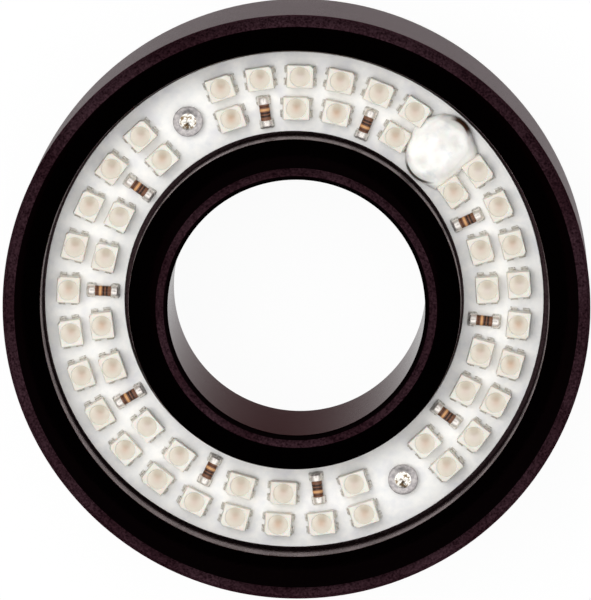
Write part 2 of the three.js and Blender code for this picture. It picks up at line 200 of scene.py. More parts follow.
# %% Node trees
class Shader:
    """The node tree of a material or of the world."""

    def __init__(self, owner):
        owner.use_nodes = True
        self.nodes = owner.node_tree.nodes
        self.links = owner.node_tree.links

    def feed(self, socket, value):
        if isinstance(value, Wire):
            self.links.new(value.socket, socket)
        else:
            socket.default_value = value

    def node(self, kind, *values, out=0, named=None, **settings):
        new = self.nodes.new(kind)
        for setting, value in settings.items():
            setattr(new, setting, value)
        for socket, value in zip(new.inputs, values):
            self.feed(socket, value)
        for socket, value in (named or {}).items():
            self.feed(new.inputs[socket], value)
        return Wire(self, new.outputs[out])

    def parts(self, vector):
        """The x, y and z of a vector."""
        split = self.node("ShaderNodeSeparateXYZ", vector).socket.node
        return [Wire(self, output) for output in split.outputs]


# %% Colours and finishes
WIDE_SPAN = (0.3, 0.7)
NARROW_SPAN = (0.35, 0.65)


def rgb(red, green, blue):
    """A colour as it looks on screen, 0 to 255, turned to the light values that nodes use."""
    def light(value):
        share = value / 255
        return share / 12.92 if share <= 0.04045 else ((share + 0.055) / 1.055) ** 2.4
    return (light(red), light(green), light(blue), 1)


class Finish(Shader):
    """A material with one Principled surface. Its constants go straight on the sockets."""

    def __init__(self, name, **constants):
        self.material = bpy.data.materials.new(name)
        super().__init__(self.material)
        self.surface = self.nodes["Principled BSDF"]
        for socket, value in constants.items():
            self.surface.inputs[socket.replace("_", " ")].default_value = value
        self.where = self.node("ShaderNodeTexCoord", out="Object")
        self.x, self.y, self.height = self.parts(self.where)
        print("finish:", name)

    def away_from(self, place):
        """The distance from an upright line through the place."""
        across, up = self.x - place.x, self.y - place.y
        return (across * across + up * up).root()

    def marked(self, name):
        """The number that `mark` stored on the piece under this name."""
        return self.node("ShaderNodeAttribute", out="Fac", attribute_name=name)

    def noise(self, grain, detail=3, rough=0.5):
        """Noise whose grain is about that many metres across, 0.5 on average."""
        named = {"Vector": self.where, "Scale": 1 / grain, "Detail": detail, "Roughness": rough}
        return self.node("ShaderNodeTexNoise", named=named)

    def blend(self, amount, first, second):
        """The first colour where amount is 0 and the second where it is 1."""
        mix = self.node("ShaderNodeMix", amount, data_type="RGBA").socket.node
        self.feed(mix.inputs[6], first)
        self.feed(mix.inputs[7], second)
        return Wire(self, mix.outputs[2])

    def mottled(self, noise, first, second, span=WIDE_SPAN):
        """A colour that goes from the first to the second where the noise goes through the span."""
        return self.blend(noise.ramp(*span), first, second)

    def set(self, socket, value):
        self.feed(self.surface.inputs[socket], value)

    def bump(self, height, depth):
        """Raise the surface by height times depth, in metres."""
        named = {"Strength": 1.0, "Distance": depth, "Height": height}
        self.set("Normal", self.node("ShaderNodeBump", named=named))

    def grained(self, noise, roughness, spread, depth):
        """One noise adds up to the spread to the roughness, and raises the surface with it."""
        self.set("Roughness", noise * spread + roughness)
        self.bump(noise, depth)


# %% [markdown]
# ## Studio floor
#
# The ring lies on white paper. The floor takes the ring's shadow like any matt surface, and
# for the rays that the camera, gloss and glass send out it is lifted most of the way to full
# white, which is what a photographer does with an even background. It lies a hair below the
# ring, because two faces at one height flicker, and it is clear from below, so that the
# ring's back can be looked at too.

# %% Floor
FLOOR_SIZE = 12
FLOOR_Z = -0.02 * MM
PAPER_LIFT = 0.95
FIBRE = 1.5 * MM

bpy.ops.object.select_all(action="DESELECT")
bpy.ops.mesh.primitive_plane_add(size=FLOOR_SIZE, location=(0, 0, FLOOR_Z))
floor = bpy.context.active_object
floor.name = "floor"
bpy.ops.object.transform_apply(location=True)

paper = Finish("white_paper", Roughness=0.9, Specular_IOR_Level=0.1)
fibres = paper.noise(FIBRE)
paper.set("Base Color", paper.blend(fibres, (0.90, 0.90, 0.90, 1), (0.94, 0.94, 0.94, 1)))
camera_rays, glossy_rays, glass_rays = (
    paper.node("ShaderNodeLightPath", out=kind)
    for kind in ("Is Camera Ray", "Is Glossy Ray", "Is Transmission Ray")
)
glow = paper.node("ShaderNodeEmission", (1, 1, 1, 1), 1.0)
matt = Wire(paper, paper.surface.outputs[0])
lift = (camera_rays + glossy_rays + glass_rays) * PAPER_LIFT
lifted = paper.node("ShaderNodeMixShader", lift, matt, glow)
from_below = paper.node("ShaderNodeNewGeometry", out="Backfacing")
clear = paper.node("ShaderNodeBsdfTransparent", (1, 1, 1, 1))
one_sided = paper.node("ShaderNodeMixShader", from_below, lifted, clear)
paper.feed(paper.nodes["Material Output"].inputs["Surface"], one_sided)
floor.data.materials.append(paper.material)

# %% [markdown]
# ## Studio light
#
# The photograph was lit softly from all round the lens, with the strongest light at the
# upper left. A world shader stands for the soft part: nearly white at the horizon, dimmer
# above it, bright in a tent round the lens, and dark in the tent's hole that the camera
# looks through. The hole leans towards +Y, as the camera does. It keeps flat black rims
# black and gives each glossy LED its dark spot. A wide lamp at the upper left gives the soft
# shadows, and is hidden from gloss, so that it leaves no square highlight on the LEDs.

# %% Light tent
HORIZON_LIGHT = 0.9
ROOM_LIGHT = 0.55
TENT_LIGHT = 1.22
HOLE_LIGHT = 0.05
HOLE_TILT = math.radians(11)
HOLE_EDGE = (math.radians(19), math.radians(9))
TENT_EDGE = (math.radians(50), math.radians(34))
HORIZON_EDGE = (math.radians(80), math.radians(88))

world = bpy.data.worlds.new("studio")
bpy.context.scene.world = world
tent = Shader(world)
direction = tent.node("ShaderNodeTexCoord", out="Generated")
hole_axis = (0, math.sin(HOLE_TILT), math.cos(HOLE_TILT))
_, _, upward = tent.parts(direction)
to_hole = tent.node("ShaderNodeVectorMath", direction, hole_axis, operation="DOT_PRODUCT", out="Value")
in_tent, in_hole, low_down = (
    cosine.ramp(math.cos(start), math.cos(end))
    for cosine, (start, end) in ((upward, TENT_EDGE), (to_hole, HOLE_EDGE), (upward, HORIZON_EDGE))
)
strength = (
    in_tent * (TENT_LIGHT - ROOM_LIGHT)
    + in_hole * (HOLE_LIGHT - TENT_LIGHT)
    + low_down * (HORIZON_LIGHT - ROOM_LIGHT)
    + ROOM_LIGHT
)
background = tent.nodes["Background"]
tent.feed(background.inputs["Color"], (1, 1, 1, 1))
tent.feed(background.inputs["Strength"], strength)
print("light tent:", len(tent.nodes), "nodes")

# %% Window lamp
LAMP_AT = (-0.34, 0.26, 1.1)
LAMP_SIZE = 0.9
LAMP_WATTS = 8.3

lamp_data = bpy.data.lights.new("window_lamp", "AREA")
lamp_data.size = LAMP_SIZE
lamp_data.energy = LAMP_WATTS
lamp = bpy.data.objects.new("window_lamp", lamp_data)
lamp.visible_glossy = False
bpy.context.scene.collection.objects.link(lamp)
lamp_place = Vector(LAMP_AT)
lamp_turn = lamp_place.to_track_quat("Z", "Y").to_matrix().to_4x4()
lamp.matrix_world = Matrix.Translation(lamp_place) @ lamp_turn
lamp_share = LAMP_WATTS / (math.pi * lamp_place.length) ** 2 * lamp_place.normalized().z
print(f"the lamp gives {lamp_share:.2f} of a full white at the ring")

# %% [markdown]
# ## How pieces are modelled
#
# A turned piece starts as one point. Extruding that point from corner to corner draws half
# of the section, and the Spin operator turns the section round the axis, as a lathe does.
# A lead or a solder fillet starts as a section too, which is filled and extruded straight.
# Corners get a small round first, because no real edge is perfectly sharp and the round is
# what catches the light. The rest starts as a blank, one of Blender's primitives. The
# operators act on all that is selected, so every helper starts with nothing selected and
# picks what it needs by place.

# %% Blanks
MERGE = 1e-6
SLACK = 4 * MERGE


def start_clean():
    """Object mode with nothing selected, so that the next operator acts on its own piece."""
    if bpy.context.object and bpy.context.object.mode != "OBJECT":
        bpy.ops.object.mode_set(mode="OBJECT")
    bpy.ops.object.select_all(action="DESELECT")


def blank(add, place=(0, 0, 0), stretch=(1, 1, 1), **sizes):
    """A primitive to work from, with its place and stretch put into its mesh."""
    start_clean()
    add(location=place, **sizes)
    piece = bpy.context.active_object
    piece.scale = stretch
    bpy.ops.object.transform_apply()
    return piece


# %% Picking by place
def choose(piece):
    start_clean()
    piece.select_set(True)
    bpy.context.view_layer.objects.active = piece


def edit(piece):
    choose(piece)
    bpy.ops.object.mode_set(mode="EDIT")
    bpy.ops.mesh.select_all(action="DESELECT")


def pick(piece, kind, test):
    """In edit mode, select the points, edges or faces all of whose points pass the test."""
    bpy.ops.mesh.select_mode(type={"verts": "VERT", "edges": "EDGE", "faces": "FACE"}[kind])
    bpy.ops.mesh.select_all(action="DESELECT")
    shape = bmesh.from_edit_mesh(piece.data)
    chosen = 0
    for element in getattr(shape, kind):
        corners = [element] if kind == "verts" else element.verts
        if all(test(corner.co) for corner in corners):
            element.select_set(True)
            chosen += 1
    shape.select_flush_mode()
    bmesh.update_edit_mesh(piece.data)
    return chosen


def near(value, target):
    return abs(value - target) < SLACK


def close_up(piece):
    """Merge doubled points, turn every face outwards and go back to object mode."""
    bpy.ops.mesh.select_mode(type="VERT")
    bpy.ops.mesh.select_all(action="SELECT")
    bpy.ops.mesh.remove_doubles(threshold=MERGE)
    bpy.ops.mesh.normals_make_consistent(inside=False)
    bpy.ops.object.mode_set(mode="OBJECT")
    return piece


# %% Sections
LARGEST_ROUND_SHARE = 0.45


def rounded(corners, steps=3):
    """Corners given as (across, height, round) become points, with an arc at each round."""
    points = []
    for i, (across, height, size) in enumerate(corners):
        here = Vector((across, height))
        before = Vector(corners[i - 1][:2]) - here
        after = Vector(corners[(i + 1) % len(corners)][:2]) - here
        if not size:
            points.append(here)
            continue
        reach = min(size, min(before.length, after.length) * LARGEST_ROUND_SHARE)
        start = here + before.normalized() * reach
        end = here + after.normalized() * reach
        for k in range(steps + 1):
            t = k / steps
            points.append(start * (1 - t) ** 2 + here * 2 * t * (1 - t) + end * t ** 2)
    return points


def draw_section(name, points, closed=True):
    """Draw a section in the XZ plane by extruding one point from corner to corner."""
    first = points[0]
    piece = blank(bpy.ops.mesh.primitive_plane_add, (first.x, 0, first.y), size=MM)
    piece.name = name
    bpy.ops.object.mode_set(mode="EDIT")
    bpy.ops.mesh.select_mode(type="VERT")
    bpy.ops.mesh.select_all(action="SELECT")
    bpy.ops.mesh.merge(type="CENTER")
    here = first
    for point in points[1:] + ([first] if closed else []):
        step = (point.x - here.x, 0, point.y - here.y)
        bpy.ops.mesh.extrude_region_move(TRANSFORM_OT_translate={"value": step})
        here = point
    bpy.ops.mesh.select_all(action="SELECT")
    bpy.ops.mesh.remove_doubles(threshold=MERGE)
    return piece


# %% Turned and sliced pieces
def turn_section(name, points, steps=96, closed=True):
    """Spin a section round the Z axis. An open section starts and ends on the axis."""
    piece = draw_section(name, points, closed)
    bpy.ops.mesh.select_all(action="SELECT")
    bpy.ops.mesh.spin(steps=steps, angle=FULL_TURN, center=(0, 0, 0), axis=(0, 0, 1))
    return close_up(piece)


def slice_section(name, points, depth):
    """Fill a section and extrude it along Y, so that it reaches half the depth each way."""
    piece = draw_section(name, points)
    bpy.ops.mesh.select_all(action="SELECT")
    bpy.ops.mesh.edge_face_add()
    bpy.ops.mesh.extrude_region_move(TRANSFORM_OT_translate={"value": (0, depth, 0)})
    bpy.ops.mesh.select_all(action="SELECT")
    bpy.ops.transform.translate(value=(0, -depth / 2, 0))
    return close_up(piece)


# %% Cutting, joining and smoothing
def cut(piece, cutter, operation="DIFFERENCE"):
    """Cut one shape out of a piece, or join it on, and throw the cutter away."""
    choose(piece)
    modifier = piece.modifiers.new("cut", "BOOLEAN")
    modifier.operation = operation
    modifier.solver = "EXACT"
    modifier.object = cutter
    bpy.ops.object.modifier_apply(modifier=modifier.name)
    bpy.data.objects.remove(cutter)


def join(name, pieces):
    """Make one object of several, which keeps each one's materials."""
    choose(pieces[0])
    for other in pieces[1:]:
        other.select_set(True)
    bpy.ops.object.join()
    pieces[0].name = name
    return pieces[0]


def smooth(piece, degrees=35):
    choose(piece)
    bpy.ops.object.shade_smooth_by_angle(angle=math.radians(degrees))
    return piece


# %% Places
def on_ring(radius, angle, height=0.0):
    return Vector((radius * math.cos(angle), radius * math.sin(angle), height))


def on_board(radius, angle, height):
    """The place of a part that stands on the board with its own +Y away from the axis."""
    turned = Matrix.Rotation(angle - QUARTER_TURN, 4, "Z")
    return board_place @ Matrix.Translation(on_ring(radius, angle, height)) @ turned


def move_mesh(piece, matrix):
    """Put a piece in its place by moving its mesh, so that the object stays at the origin."""
    piece.data.transform(matrix)
    piece.data.update()
    return piece


def copy_of(piece, name, matrix):
    twin = piece.copy()
    twin.data = piece.data.copy()
    twin.name = name
    bpy.context.scene.collection.objects.link(twin)
    return move_mesh(twin, matrix)


def standing_place(node):
    """The radius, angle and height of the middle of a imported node's lowest points."""
    corners = {tuple(round(c, 7) for c in v.co) for v in frame["nodes"][node].data.vertices}
    lowest = min(corner[2] for corner in corners)
    feet = [Vector(corner) for corner in corners if corner[2] < lowest + 10 * MERGE]
    middle = sum(feet, Vector()) / len(feet)
    return math.hypot(middle.x, middle.y), math.atan2(middle.y, middle.x), lowest


# %% Marks, finishes and nodes
def mark(piece, name, measure):
    """Store a number at every point, which the piece's finish can read by this name."""
    marks = piece.data.attributes.new(name, "FLOAT", "POINT").data
    for point, value in zip(piece.data.vertices, marks):
        value.value = measure(point.co)
    return piece


def paint(piece, *finishes):
    piece.data.materials.clear()
    for finish in finishes:
        piece.data.materials.append(finish.material)
    return piece


def repaint(piece, number, test):
    """In edit mode, give the faces that pass the test the piece's finish of that number."""
    picked = pick(piece, "faces", test)
    piece.active_material_index = number
    bpy.ops.object.material_slot_assign()
    print(picked, "faces take the finish", piece.material_slots[number].name)


def show(piece, slot, *nodes):
    """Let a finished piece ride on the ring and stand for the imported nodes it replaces."""
    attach(piece, "root")
    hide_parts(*nodes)


# %% [markdown]
# ## Black anodised aluminium
#
# Anodising keeps the metal's own fine grain and dyes it black. On screen it is a very dark
# plum brown, satin rather than glossy. Fine noise in the bump gives the grain, and faint
# rings in the bump are what the lathe tool left on the faces. The rims and the outside share
# this finish. The upright walls of the channel get a brighter, more reflective copy of it,
# which is painted reflection of the white board. The cones and the bore get a nearly black
# copy that hardly reflects, which is painted shade. All of them are mostly metal, whose
# Base Color is what shows head on and whose Specular Tint sets how bright the surface gets
# edge on.

# %% Finish of the rims and the outside
GRAIN = 0.2 * MM
GRAIN_DEPTH = 0.02 * MM
SPECKLE = 0.22 * MM
CLOUD = 7 * MM
TOOL_PITCH = 0.11 * MM
TOOL_SHARE = 0.05

anodised = Finish("black_anodised", Metallic=1.0, Specular_Tint=(0.46, 0.40, 0.41, 1))
grain = anodised.noise(GRAIN, detail=4, rough=0.6)
cloud = anodised.noise(CLOUD, detail=2)
speckle = anodised.noise(SPECKLE, detail=2)
along_section = anodised.away_from(Vector()) + anodised.height
tool_rings = (along_section * (FULL_TURN / TOOL_PITCH)).wave()
dark_dye = anodised.mottled(cloud, rgb(16, 4, 8), rgb(26, 11, 16), NARROW_SPAN)
pale_dye = anodised.mottled(cloud, rgb(52, 31, 37), rgb(66, 45, 52), NARROW_SPAN)
anodised.set("Base Color", anodised.mottled(speckle, dark_dye, pale_dye))
anodised.set("Roughness", grain * 0.2 + 0.22)
anodised.bump(grain + tool_rings * TOOL_SHARE, GRAIN_DEPTH)

# %% Painted reflection on the channel's walls, and painted shade on the cones and the bore
WALL_STREAK = 0.5 * MM
WALL_STREAK_DEPTH = 0.01 * MM
CONE_STREAK = 0.4 * MM
CONE_STREAK_DEPTH = 0.008 * MM

# A brighter, more reflective copy of the anodising for the channel's walls: painted reflection of the
# white board.
wall_painted_reflection = Finish("channel_wall_painted_reflection", Metallic=0.8, Specular_Tint=(0.94, 0.84, 0.85, 1))
streak = wall_painted_reflection.noise(WALL_STREAK)
wall_painted_reflection.set("Base Color", wall_painted_reflection.mottled(streak, rgb(50, 35, 38), rgb(70, 54, 57)))
wall_painted_reflection.grained(streak, roughness=0.2, spread=0.16, depth=WALL_STREAK_DEPTH)

# A nearly black copy that hardly reflects, for the cones and the bore: painted shade.
cone_painted_shade = Finish(
    "cone_and_bore_painted_shade", Metallic=0.8, Specular_IOR_Level=0.0, Specular_Tint=(0.07, 0.0, 0.004, 1))
feed = cone_painted_shade.noise(CONE_STREAK)
cone_painted_shade.set("Base Color", cone_painted_shade.blend(feed, rgb(6, 2, 3), rgb(10, 5, 6)))
cone_painted_shade.grained(feed, roughness=0.06, spread=0.08, depth=CONE_STREAK_DEPTH)

# %% [markdown]
# ## Housing
#
# The real housing is turned from a bar: bore, rims, the coned mouth of the channel and its
# slightly leaning walls come from one section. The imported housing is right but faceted, so
# the same section is drawn again with rounded edges and spun finely. Each tall wall gets a
# ring of points close to either end, because a round that meets it there would otherwise
# bend its smooth shading all the way down. The channel's points are then moved over by its
# slip. Milled and drilled features are cut out with Boolean modifiers, in the order that a
# workshop would, and at the end faces are picked by place for the three finishes.

# %% Turn the housing
RING_STEPS = 192
WALL_LOOP = 0.3 * MM

outer_rim = OUTER_RADIUS - OUTER_RIM_WIDTH
tube_rim = BORE_RADIUS + TUBE_RIM_WIDTH
housing = turn_section("housing_shell", rounded([
    (BORE_RADIUS, RIM_CHAMFER + WALL_LOOP, 0),
    (BORE_RADIUS, RIM_CHAMFER, EDGE_ROUND),
    (BORE_RADIUS + RIM_CHAMFER, 0, EDGE_ROUND),
    (OUTER_RADIUS - RIM_CHAMFER, 0, EDGE_ROUND),
    (OUTER_RADIUS, RIM_CHAMFER, EDGE_ROUND),
    (OUTER_RADIUS, RIM_CHAMFER + WALL_LOOP, 0),
    (OUTER_RADIUS, FRONT_Z - RIM_CHAMFER - WALL_LOOP, 0),
    (OUTER_RADIUS, FRONT_Z - RIM_CHAMFER, EDGE_ROUND),
    (OUTER_RADIUS - RIM_CHAMFER, FRONT_Z, EDGE_ROUND),
    (outer_rim, FRONT_Z, EDGE_ROUND),
    (CHANNEL_RADIUS + WALL_DRAFT, cone_foot, EDGE_ROUND),
    (CHANNEL_RADIUS, SEAT_Z, 0),
    (TUBE_RADIUS, SEAT_Z, 0),
    (TUBE_RADIUS - WALL_DRAFT, cone_foot, EDGE_ROUND),
    (tube_rim, FRONT_Z, EDGE_ROUND),
    (BORE_RADIUS + RIM_CHAMFER, FRONT_Z, EDGE_ROUND),
    (BORE_RADIUS, FRONT_Z - RIM_CHAMFER, EDGE_ROUND),
    (BORE_RADIUS, FRONT_Z - RIM_CHAMFER - WALL_LOOP, 0),
]), RING_STEPS)


def in_channel(point):
    """Whether a point of the housing belongs to the upright walls or the seats."""
    upright = SEAT_Z - MERGE < point.z < cone_foot + EDGE_ROUND
    return upright and tube_rim + MM < point.xy.length < outer_rim - MM


edit(housing)
pick(housing, "verts", in_channel)
bpy.ops.transform.translate(value=CHANNEL_SLIP)
close_up(housing)
print("housing:", len(housing.data.polygons), "faces after spinning")

# %% [markdown]
# The wiring groove is milled below the board in two lengths with round ends, and the lands
# left between them carry the board screws. Each cutter is a spun rectangle with a round pin
# joined on at either end, just as an end mill would leave it.

# %% Mill the wiring groove
GROOVE_INNER = 21.2 * MM
GROOVE_OUTER = 27.95 * MM
GROOVE_FLOOR_Z = 2.6 * MM
LAND_WIDTH = 5 * MM
MILL_STEPS = 32
OVERRUN = 1 * MM

screw_angles = [standing_place(f"board_screw_{i}")[1] for i in (1, 2)]
mill_radius = (GROOVE_OUTER - GROOVE_INNER) / 2
groove_middle = (GROOVE_OUTER + GROOVE_INNER) / 2
land_half = (LAND_WIDTH / 2 + mill_radius) / BOARD_MIDDLE


def mill_pin(angle):
    depth = SEAT_Z + OVERRUN - GROOVE_FLOOR_Z
    place = on_ring(groove_middle, angle, GROOVE_FLOOR_Z + depth / 2)
    return blank(
        bpy.ops.mesh.primitive_cylinder_add, place, vertices=MILL_STEPS, radius=mill_radius,
        depth=depth)


def groove_cutter(start, end):
    top = SEAT_Z + OVERRUN
    cutter = draw_section("groove_cutter", [
        Vector((GROOVE_INNER, GROOVE_FLOOR_Z)), Vector((GROOVE_OUTER, GROOVE_FLOOR_Z)),
        Vector((GROOVE_OUTER, top)), Vector((GROOVE_INNER, top)),
    ])
    bpy.ops.mesh.select_all(action="SELECT")
    bpy.ops.mesh.edge_face_add()
    steps = round((end - start) / FULL_TURN * RING_STEPS)
    bpy.ops.mesh.spin(steps=steps, angle=end - start, center=(0, 0, 0), axis=(0, 0, 1))
    close_up(cutter)
    move_mesh(cutter, Matrix.Rotation(start, 4, "Z"))
    for angle in (start, end):
        cut(cutter, mill_pin(angle), "UNION")
    return cutter


first_screw, second_screw = sorted(angle % FULL_TURN for angle in screw_angles)
for start, end in ((first_screw, second_screw), (second_screw, first_screw + FULL_TURN)):
    cut(housing, groove_cutter(start + land_half, end - land_half))
print("housing:", len(housing.data.polygons), "faces after milling")

# %% [markdown]
# Tapped holes show rings of thread. A true helix would cost many faces for something this
# small, so each hole's cutter is a spun section with one tooth for every turn of the thread.

# %% Drill and tap
THREAD_DEPTH = 0.16 * MM
DRILL_STEPS = 32
DRILL_POINT = math.radians(31)
FIXING = {"radius": 1.25 * MM, "depth": 6 * MM, "pitch": 0.45 * MM, "countersink": 0.4 * MM}
TAPPED = {"radius": 1.15 * MM, "depth": 5.6 * MM, "pitch": 0.4 * MM, "countersink": 0.15 * MM}


def thread_section(radius, depth, pitch, countersink):
    """Half section of a tapped hole: its mouth at z = 0 and its drill point at the depth."""
    height = countersink
    points = [
        Vector((0, -OVERRUN)),
        Vector((radius + countersink + OVERRUN, -OVERRUN)),
        Vector((radius, height)),
    ]
    while height + pitch < depth:
        points.append(Vector((radius - THREAD_DEPTH, height + pitch / 2)))
        points.append(Vector((radius, height + pitch)))
        height += pitch
    return points + [Vector((0, height + radius * math.tan(DRILL_POINT)))]


def tap(place, upside_down=False, **hole):
    cutter = turn_section("tap", thread_section(**hole), DRILL_STEPS, closed=False)
    turned = Matrix.Rotation(math.pi, 4, "X") if upside_down else Matrix.Identity(4)
    cut(housing, move_mesh(cutter, Matrix.Translation(place) @ turned))


fixing_circle = (GROOVE_OUTER + OUTER_RADIUS) / 2
for i in range(4):
    tap(on_ring(fixing_circle, QUARTER_TURN * (i + 0.5)), **FIXING)
for angle in screw_angles:
    tap(on_ring(BOARD_MIDDLE, angle, SEAT_Z) + SCREW_SLIP, upside_down=True, **TAPPED)
print("housing:", len(housing.data.polygons), "faces after drilling")

# %% [markdown]
# The cable comes in through the side wall, into the wiring groove. The inlet's cutter is a
# spun section too, laid on its side: a neck for the grommet and a wider seat for its flange.

# %% Bore the cable inlet
grommet_low, grommet_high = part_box("cable_grommet")
INLET_Z = (grommet_low.z + grommet_high.z) / 2
FLANGE_RADIUS = (grommet_high.z - grommet_low.z) / 2
FLANGE_THICKNESS = 1.4 * MM
NECK_RADIUS = 3.1 * MM
INLET_GAP = 0.3 * MM
INLET_STEPS = 48
flange_face = -grommet_low.y

to_inlet = Matrix.Translation((0, 0, INLET_Z)) @ Matrix.Rotation(QUARTER_TURN, 4, "X")
inlet_seat = flange_face - FLANGE_THICKNESS - INLET_GAP
inlet = turn_section("inlet_cutter", [
    Vector((0, BOARD_MIDDLE)),
    Vector((NECK_RADIUS + INLET_GAP, BOARD_MIDDLE)),
    Vector((NECK_RADIUS + INLET_GAP, inlet_seat)),
    Vector((FLANGE_RADIUS + INLET_GAP, inlet_seat)),
    Vector((FLANGE_RADIUS + INLET_GAP, OUTER_RADIUS + OVERRUN)),
    Vector((0, OUTER_RADIUS + OVERRUN)),
], INLET_STEPS, closed=False)
cut(housing, move_mesh(inlet, to_inlet))
print("housing:", len(housing.data.polygons), "faces with the inlet")

# %% [markdown]
# Each finish is a material slot of the housing. The faces of the channel, and those of the
# cones and the bore, are picked by place and handed to theirs. All others keep the first.

# %% Give the housing its finishes
BORE_EDGE_RADIUS = BORE_RADIUS + RIM_CHAMFER + EDGE_ROUND


def on_cone_or_bore(point):
    """Whether a point lies on one of the two cones, or in the bore and on its chamfers."""
    across = point.xy.length
    on_cone = point.z > cone_foot - MERGE and tube_rim - MERGE < across < outer_rim + MERGE
    return on_cone or across < BORE_EDGE_RADIUS + MERGE


paint(housing, anodised, wall_painted_reflection, cone_painted_shade)
edit(housing)
# The channel's faces take the painted reflection, and the cones and the bore take the painted shade.
repaint(housing, 1, in_channel)
repaint(housing, 2, on_cone_or_bore)
close_up(housing)
smooth(housing)
show(housing, "anodised_housing", "housing")
print("housing:", len(housing.data.polygons), "faces when finished")

# %% [markdown]
# ## Flux stain and painted shadow round the silicone
#
# The wires were soldered by hand, and the flux that ran out from under them has turned brown.
# It shows as a brown crescent at the outer end of the silicone, which is partly that flux
# and partly painted shadow under the dab's edge. A thinner dark grey line at its inner end
# is painted shadow at the dab's foot. Each lies along an arc. Both the board and the foot of
# the silicone take the colour.

# %% Flux stain and painted shadow
_, wire_angle, _ = standing_place("wire_sealant")
# First the brown crescent at the outer end, part flux and part painted shadow, then the dark grey painted
# shadow at the inner end.
FLUX_AND_SHADOW_MARKS = [
    (26.04 * MM, 2.72 * MM, 0.16 * MM, 1.7 * MM, rgb(74, 44, 26)),
    (23.57 * MM, -3.16 * MM, 0.09 * MM, 2.6 * MM, rgb(84, 78, 68)),
]


def with_flux_and_shadow(finish, colour, wander):
    """The colour with the flux crescent and the painted shadow line laid over it, their edges wandering
    with a noise.
    """
    for start, bend, half_width, reach, dark_colour in FLUX_AND_SHADOW_MARKS:
        centre = on_board(start, wire_angle, BOARD_TOP_Z).translation
        middle = on_board(start + bend, wire_angle, BOARD_TOP_Z).translation
        across = finish.away_from(centre) + (wander - 0.5) * half_width
        line = across.between(abs(bend) - half_width, abs(bend) + half_width, half_width)
        fade = 1 - finish.away_from(middle).ramp(reach / 2, reach)
        colour = finish.blend(line * fade, colour, dark_colour)
    return colour


# %% [markdown]
# ## Board
#
# A ring light's board is glass laminate with white solder mask, so that it throws back stray
# light. The plate is a spun rectangle with small rounds, drilled for the screws and for the
# two wires that come up under the silicone. The mask is slightly glossy and mottled, with
# noises of three sizes laid over each other, and the cut edge shows the yellowish laminate.

# %% Board finish
MOTTLE = 1.1 * MM
MOTTLE_DEPTH = 0.012 * MM
SHADE = 2.6 * MM
SHADE_SPAN = (0.52, 0.72)
SHADE_SHARE = 0.45
PATCH = 6 * MM
PATCH_SHARE = 0.4
MASK_THICKNESS = 0.05 * MM

board_white = Finish("white_solder_mask", Specular_IOR_Level=0.5)
mottle = board_white.noise(MOTTLE, detail=4, rough=0.6)
patches = board_white.noise(PATCH, detail=2)
shades = board_white.noise(SHADE, detail=2)
mask_colour = board_white.mottled(mottle, rgb(232, 233, 233), rgb(250, 248, 244))
mask_colour = board_white.blend(patches.ramp(*WIDE_SPAN) * PATCH_SHARE, mask_colour, rgb(244, 243, 238))
mask_colour = board_white.blend(shades.ramp(*SHADE_SPAN) * SHADE_SHARE, mask_colour, rgb(213, 212, 219))
# The flux stain and the painted shadow round the silicone's foot.
mask_colour = with_flux_and_shadow(board_white, mask_colour, mottle)
laminate = board_white.mottled(mottle, rgb(196, 182, 140), rgb(210, 198, 160))
in_mask = board_white.height.ramp(BOARD_TOP_Z - 2 * MASK_THICKNESS, BOARD_TOP_Z - MASK_THICKNESS)
board_white.set("Base Color", board_white.blend(in_mask, laminate, mask_colour))
board_white.grained(mottle, roughness=0.3, spread=0.2, depth=MOTTLE_DEPTH)

# %% Board plate
BOARD_STEPS = 144
BOARD_EDGE = 0.08 * MM
SCREW_HOLE_RADIUS = 1.3 * MM
WIRE_HOLE_RADIUS = 0.7 * MM
WIRE_HOLE_SPACING = 3.2 * MM

board = turn_section("board_plate", rounded([
    (BOARD_HOLE_RADIUS, SEAT_Z, BOARD_EDGE),
    (BOARD_RADIUS, SEAT_Z, BOARD_EDGE),
    (BOARD_RADIUS, BOARD_TOP_Z, BOARD_EDGE),
    (BOARD_HOLE_RADIUS, BOARD_TOP_Z, BOARD_EDGE),
]), BOARD_STEPS)

board_holes = [(SCREW_HOLE_RADIUS, BOARD_MIDDLE, angle) for angle in screw_angles]
for side_step in (-1, 1):
    wire_hole_at = BOARD_MIDDLE + side_step * WIRE_HOLE_SPACING / 2
    board_holes.append((WIRE_HOLE_RADIUS, wire_hole_at, wire_angle))
for hole_radius, across, angle in board_holes:
    middle = on_ring(across, angle, SEAT_Z + BOARD_THICKNESS / 2)
    cut(board, blank(
        bpy.ops.mesh.primitive_cylinder_add, middle, vertices=DRILL_STEPS, radius=hole_radius,
        depth=2 * BOARD_THICKNESS))
move_mesh(board, board_place)
paint(board, board_white)
smooth(board)
show(board, "board", "led_board")
print("board:", len(board.data.polygons), "faces and", len(board_holes), "holes")

# %% [markdown]
# ## LED package
#
# Each LED is a moulded white package, drafted both ways from its parting line, with one
# corner cut off to mark the cathode. A round cup in its top holds clear gel over the chip.
# The body is extruded up and down from a plane at the parting line, and the cup is cut out.
# A wide noise tints the LEDs from one to the next, as parts of one reel differ. The gel's
# colour goes from a darker, browner middle to the clear edge by a number stored at its
# points. That middle is partly the chip under the gel and partly painted shade.

# %% LED finishes
FLOW = 0.5 * MM
FLOW_DEPTH = 0.008 * MM
BATCH = 9 * MM
SWIRL = 0.9 * MM
TINT = 6 * MM
MIDDLE_SHADE_SPAN = (0.1, 0.7)

